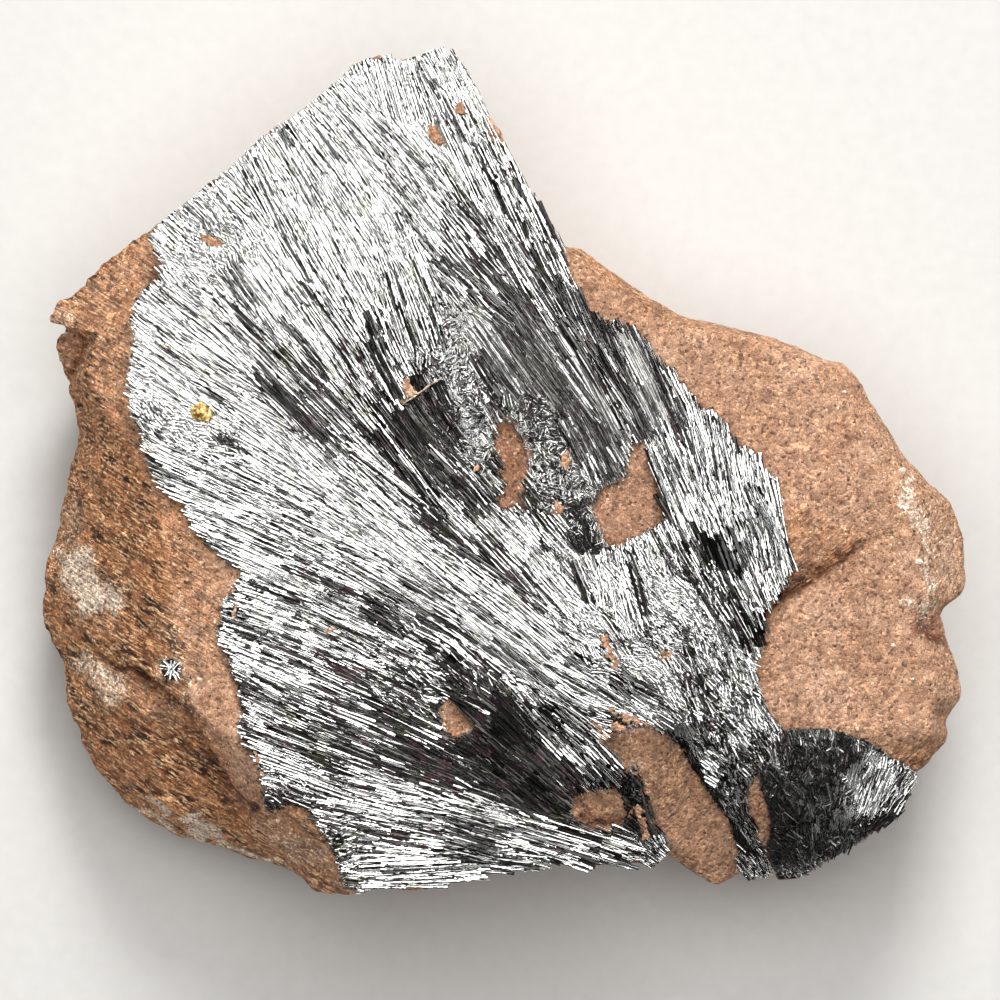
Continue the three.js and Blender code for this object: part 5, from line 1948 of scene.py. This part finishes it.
        # blades face the way of the smoothed top, and lean a little with their own ridge
        top = (facing[:, 2] > 0.75)[:, None]
        lay = self.ground.facing[self.ground.cells(x, y)] * (1 - self.ridge_share)
        lay += np.where(top, facing, 0) * self.ridge_share
        lay /= np.linalg.norm(lay, axis=1, keepdims=True)
        level = laid(x, y, 0.0, self.level)[:, None]
        lay = lay * (1 - level) + np.array([0.0, -0.02, 1.0]) * level
        lay /= np.linalg.norm(lay, axis=1, keepdims=True)
        flat = np.stack([np.cos(heading), np.sin(heading), np.zeros(len(x))], axis=1)
        grain = flat - lay * (flat * lay).sum(1, keepdims=True)
        grain /= np.linalg.norm(grain, axis=1, keepdims=True) + 1e-9
        longest = max(layer.longest for layer in self.layers) / MM / 2
        for name, values in {
            "grain": grain,
            "lay": lay,
            "ahead": self.ground.run(x, y, heading, longest) * MM,
            "behind": self.ground.run(x, y, heading + math.pi, longest) * MM,
            "room": np.clip(self.ground.room(x, y, heading), 0.3, 1),
        }.items():
            store(mesh, name, values)

    def _trim(self, mesh: bpy.types.Mesh) -> None:
        """Drops what the blades no longer need.

        Args:
            mesh: The mesh of the bed or of the blades.
        """
        for name in self.spent:
            if name in mesh.attributes:
                mesh.attributes.remove(mesh.attributes[name])


@dataclass
class Rosette:
    """The small star of blades on the flank. Sizes are in millimetres, but for the voxel."""

    arms: int = 11
    blades: int = 3
    shortest: float = 0.8
    longest: float = 1.6
    pitch: float = 0.15
    half: float = 0.09
    hub: float = 0.12
    along: float = 0.15
    lustre: float = 0.68
    clean_radius: float = 1.15
    crown_depth: float = 1.2
    sunk: float = 0.55
    voxel: float = 0.12 * MM
    seed: int = 9

    def plan(self) -> CrustPlan:
        """Measures the star from above.

        Returns:
            The plan.
        """
        copy = merged_copy("small_rosette", "small_rosette_plan")
        made = CrustPlan(copy.data)
        bpy.data.meshes.remove(copy.data)
        return made

    def build(self, bed_finish: bpy.types.Material, blade_finish: bpy.types.Material) -> None:
        """Builds the star's bed and its arms.

        Args:
            bed_finish: The finish of the bed.
            blade_finish: The finish of the blades.
        """
        bed = merged_copy("small_rosette", "small_rosette_bed")
        remesh(bed, self.voxel)
        where, _ = surface_of(bed.data)
        x, y, _ = (where.max(0) + where.min(0)) / 2
        crown = where[:, 2].max()
        sandy = np.hypot(where[:, 0] - x, where[:, 1] - y) > self.clean_radius
        store(bed.data, "sandy", np.where(sandy, 0.9, 0.0))
        high = np.clip((where[:, 2] - crown + self.crown_depth) / self.crown_depth, 0, 1)
        where[:, 2] -= high * self.sunk
        move(bed.data, where)
        finish_piece(bed, "small_rosette", bed_finish, smooth=True)
        piece = placed("small_rosette_star", self._star(x, y, crown))
        finish_piece(piece, "small_rosette", blade_finish, smooth=False)

    def _star(self, x: float, y: float, crown: float) -> bpy.types.Mesh:
        """Makes the arms, each of a few blades side by side.

        Args:
            x: The middle of the star across, in millimetres.
            y: Its middle along.
            crown: The height of its bed.

        Returns:
            The mesh, with what the blades' finish reads.
        """
        rng = np.random.default_rng(self.seed)
        bars = Bars()
        chances: list[float] = []
        half = self.half
        for arm in range(self.arms):
            aim = 2 * math.pi * (arm + rng.uniform(-0.3, 0.3)) / self.arms
            long = rng.uniform(self.shortest, self.longest)
            for blade in range(self.blades):
                aside = (blade - 1) * self.pitch
                level = crown - 0.1 + rng.uniform(0, 0.12)
                heading = aim + rng.normal(0, 0.12)
                end = long * rng.uniform(0.7, 1.0)
                roll, lean = rng.normal(0, 0.14), rng.normal(-0.04, 0.06)
                cosine, sine = math.cos(heading), math.sin(heading)
                corners = [
                    (run, aside + side * share, level + lean * run + drop * share)
                    for run, share in ((self.hub, 0.6), (end, rng.uniform(0.4, 1.0)))
                    for side, drop in ((half, roll * half), (-half, -roll * half), (0, -2 * half))
                ]
                turned = [(x + cosine * u - sine * v, y + sine * u + cosine * v, w) for u, v, w in corners]
                bars.add([tuple(part * MM for part in corner) for corner in turned], 0.0, self.along)
                chances += [rng.uniform(0.0, 0.9)] * BAR_CORNERS
        mesh = bars.mesh("small_rosette_star")
        store(mesh, "chance", np.array(chances))
        store(mesh, "lustre", np.full(len(chances), self.lustre))
        store(mesh, "satin", np.zeros(len(chances)))
        return mesh


@dataclass
class OchreGrain:
    """The lump of limonite caught in the crust."""

    voxel: float = 0.07 * MM
    wear: Wear = Wear(
        lump_height=0.9 * MM,
        lump_size=0.6 * MM,
        ledge_height=0.0,
        grain_height=0.15 * MM,
        growth=0.05 * MM,
        seed=8.0,
    )

    def build(self, weathering: Weathering) -> None:
        """Builds and dresses the lump.

        Args:
            weathering: The tree that roughens it.
        """
        piece = merged_copy("ochre_grain", "limonite_lump")
        remesh(piece, self.voxel)
        store(piece.data, "flank", np.ones(len(piece.data.vertices)))
        weathering.apply(piece, vars(self.wear))
        finish_piece(piece, "ochre_grain", LIMONITE.material(), smooth=True)


# ------------------------------------------------------------------ studio


class LightShape(Enum):
    """The shapes of the studio's lights."""

    SQUARE = "SQUARE"
    DISK = "DISK"


@dataclass
class Studio:
    """A pale table, soft lights and a long lens straight above. Sizes are in metres."""

    camera_height: float = 1.6
    frame_width: float = 100 * MM
    aim: tuple[float, float] = (-0.2 * MM, -2.75 * MM)
    face_level: float = 19 * MM
    lit: tuple[float, float, float] = (0, 0, 20 * MM)
    table_half: float = 3.0
    table: str = "#d6d4d0"
    tooth: str = "#d2d0cc"
    sky: str = "#c9ccd0"

    def build(self) -> None:
        """Sets up the table, the lights, the world and the camera."""
        self._table()
        self._world()
        self._light("overhead", (0.0, 0.12, 0.8), size=0.9, watts=6.3, shape=LightShape.DISK)
        self._light("far_side", (0.12, 0.85, 0.72), size=0.35, watts=11.0, shape=LightShape.SQUARE)
        self._camera()

    def _table(self) -> None:
        """Lays the table under the specimen."""
        mesh = bpy.data.meshes.new("table")
        half = self.table_half
        corners = [(-half, -half, 0), (half, -half, 0), (half, half, 0), (-half, half, 0)]
        mesh.from_pydata(corners, [], [(0, 1, 2, 3)])
        made, node, place = started("matt_card")
        tooth = node(NOISE, {}, {"Vector": place, "Scale": 1 / (1.5 * MM), "Detail": 2.0})
        colour = node(RAMP, {"stops": [(0.3, self.tooth), (0.7, self.table)]}, (tooth,))
        card = node("ShaderNodeBsdfPrincipled", {}, {"Base Color": colour, "Roughness": 0.9})
        node("ShaderNodeOutputMaterial", {}, {"Surface": card})
        mesh.materials.append(made)
        floor = placed("table", mesh)
        floor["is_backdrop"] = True

    def _world(self) -> None:
        """Fills the shadows with a dim light that is stronger near the horizon."""
        world = bpy.data.worlds.new("studio")
        world.use_nodes = True
        world.node_tree.nodes.clear()
        node = partial(add, world.node_tree)
        height = node(SEPARATE, {}, (node("ShaderNodeTexCoord").outputs["Generated"],)).outputs["Z"]
        glow = node(RANGE, {"interpolation_type": "SMOOTHSTEP"}, (height, 0.1, 0.5, 0.55, 0.1))
        back = node("ShaderNodeBackground", {}, {"Color": self.sky, "Strength": glow})
        node("ShaderNodeOutputWorld", {}, {"Surface": back})
        bpy.context.scene.world = world
        bpy.context.scene.view_settings.view_transform = "Standard"

    def _light(
        self, name: str, place: tuple[float, float, float], size: float, watts: float, shape: LightShape
    ) -> None:
        """Hangs a light that looks at the specimen.

        Args:
            name: The light's name.
            place: Where it hangs.
            size: Its width.
            watts: Its power.
            shape: Its shape.
        """
        data = bpy.data.lights.new(name, "AREA")
        data.shape = shape.value
        data.size = size
        data.energy = watts
        lamp = placed(name, data)
        lamp.location = place
        lamp.rotation_mode = "QUATERNION"
        lamp.rotation_quaternion = (Vector(self.lit) - Vector(place)).to_track_quat("-Z", "Y")

    def _camera(self) -> None:
        """Sets the camera straight above, with the far edge of the slab at the top of the picture."""
        data = bpy.data.cameras.new("camera")
        data.sensor_width = 36.0
        data.lens = data.sensor_width * (self.camera_height - self.face_level) / self.frame_width
        data.clip_start, data.clip_end = 0.01, 20.0
        camera = placed("camera", data)
        camera.location = (*self.aim, self.camera_height)
        bpy.context.scene.camera = camera


# ------------------------------------------------------------------ main


def main_crust() -> Spray:
    """Lists the layers and the marks of the crust.

    Returns:
        The crust.
    """
    return Spray(
        node="main_crust",
        slot="pyrolusite",
        layers=(
            # the deep layer is painted darker, as painted shade with soot under the layers above
            Layer(
                "deep", "under", 0.4e6, 5 * MM, 10 * MM,
                lift=0.1 * MM, sink=0.25 * MM, brightness=0.3, seed=10,
            ),
            Layer("long_a", "open", 0.7e6, 7 * MM, 16 * MM, girth=1.28, roll=0.12, yaw=0.03, seed=11),
            Layer("long_b", "open", 0.7e6, 5 * MM, 13 * MM, girth=1.08, roll=0.14, yaw=0.035, seed=12),
            Layer("fine", "open", 0.7e6, 1.5 * MM, 7 * MM, girth=0.78, lift=0.4 * MM, seed=13),
            Layer("chips", "upset", 3.8e6, 0.5 * MM, 2.0 * MM, lift=0.45 * MM, rise=0.08, yaw=0.5, seed=15),
            Layer(
                "speckle", "wild", 8.0e6, 0.3 * MM, 1.1 * MM,
                girth=0.42, roll=0.24, rise=0.14, yaw=1.5, seed=14,
            ),
        ),
        soot_and_painted_sheen_marks=SOOT_AND_PAINTED_SHEEN,
        upset=TUMBLE,
        wild=WILD,
        gaps=GAPS,
        turned_away_painted_shade_marks=TURNED_AWAY_PAINTED_SHADE,
        bands=BANDS,
        soot_and_painted_lanes=SOOT_AND_PAINTED_LANES,
        level=marks(
            (15, -14, 26, -26, 5, 0.7), (20, -28, 25, -39, 2.4, 0.55), (3.4, -35.8, 15.2, -38.2, 1.7, 0.85)
        ),
    )


def corner_fan() -> Spray:
    """Lists the layers and the marks of the dark spray in the corner.

    Returns:
        The spray.
    """
    return Spray(
        node="corner_fan",
        slot="dark_pyrolusite",
        layers=(
            Layer("silk", "under", 2.2e6, 2 * MM, 7 * MM, girth=0.5, roll=0.3, rise=0.06, yaw=0.08, seed=30),
            Layer(
                "flakes", "open", 3.2e6, 1 * MM, 3.4 * MM,
                girth=0.95, roll=0.14, rise=0.06, yaw=0.3, seed=32,
            ),
            Layer(
                "crumbs", "upset", 9.0e6, 0.3 * MM, 1.1 * MM,
                girth=0.5, roll=0.3, rise=0.15, yaw=1.1, seed=31,
            ),
        ),
        lustre=0.2,
        soot_and_painted_sheen_marks=marks(
            (36.8, -31.6, 39.8, -30.6, 2.2, 0.5), (35.2, -30.4, 36.6, -32.8, 1.0, 1.3),
            (37.0, -28.8, 38.4, -29.8, 0.8, 1.2), (38.6, -29.6, 36.8, -33.4, 0.6, 1.3),
            (35.6, -33.6, 33.6, -35.0, 0.6, 1.2), (27.6, -40.4, 34, -39.6, 1.4, 0.45),
            (30.6, -30.0, 31.4, -35.0, 0.3, 0.7), (33.2, -29.0, 33.8, -32.0, 0.3, 0.6),
        ),
        upset=marks((28, -33, 38, -33, 12, 0.85), (37.6, -31.4, 38.8, -33.6, 2.3, 0.1)),
        gaps=marks(
            (31.6, -28.6, 34.2, -33.8, 0.16), (28.2, -29.4, 30.4, -35.4, 0.13),
            (35.4, -31.0, 35.2, -36.2, 0.13), (29.6, -27.4, 33.2, -28.6, 0.1),
        ),
        satin=0.36,
        turned_away_painted_shade_marks=marks((36.8, -31.6, 39.8, -30.6, 2.4, 0.0), (37.4, -33, 38.6, -35, 1.7, 0.0)),
        level=marks((36.4, -32, 39.8, -31, 2.6, 0.95), (28, -40.4, 34, -39.4, 1.2, 0.6)),
        bundling=0.42,
        rim_sand=0.0,
        root=(32.2, -42.5),
    )


def main() -> None:
    """Builds and dresses every part in order, and logs the two boxes."""
    logging.basicConfig(level=logging.INFO, format="%(name)s %(message)s")
    Studio().build()

    crust, fan = main_crust(), corner_fan()
    plans = [spray.plan() for spray in (crust, fan)]
    sandstone = Sandstone().material()
    weathering = Weathering()
    rock = HostRock().build([*plans, Rosette().plan()], weathering, sandstone)
    QuartzGrains().build(rock)
    CaughtSand().build(plans[0], sandstone)

    sheaves = SheafMaker().collection()
    tree = BladeSpray()
    bed = SootyBed().material()
    silver = Pyrolusite().material()
    crust.build(tree, sheaves, bed, silver)
    fan.build(tree, sheaves, bed, Silk().material())
    Rosette().build(bed, silver)
    OchreGrain().build(weathering)

    for sheaf in list(sheaves.objects):
        bpy.data.objects.remove(sheaf)
    bpy.data.collections.remove(sheaves)
    boxes = {"cad": [list(corner) for corner in cad_box], "visual": [list(c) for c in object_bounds()]}
    sizes = {name: (np.array(box) / MM).round(1).tolist() for name, box in boxes.items()}
    log.info("boxes in millimetres: %s", sizes)


if __name__ == "__main__":
    main()
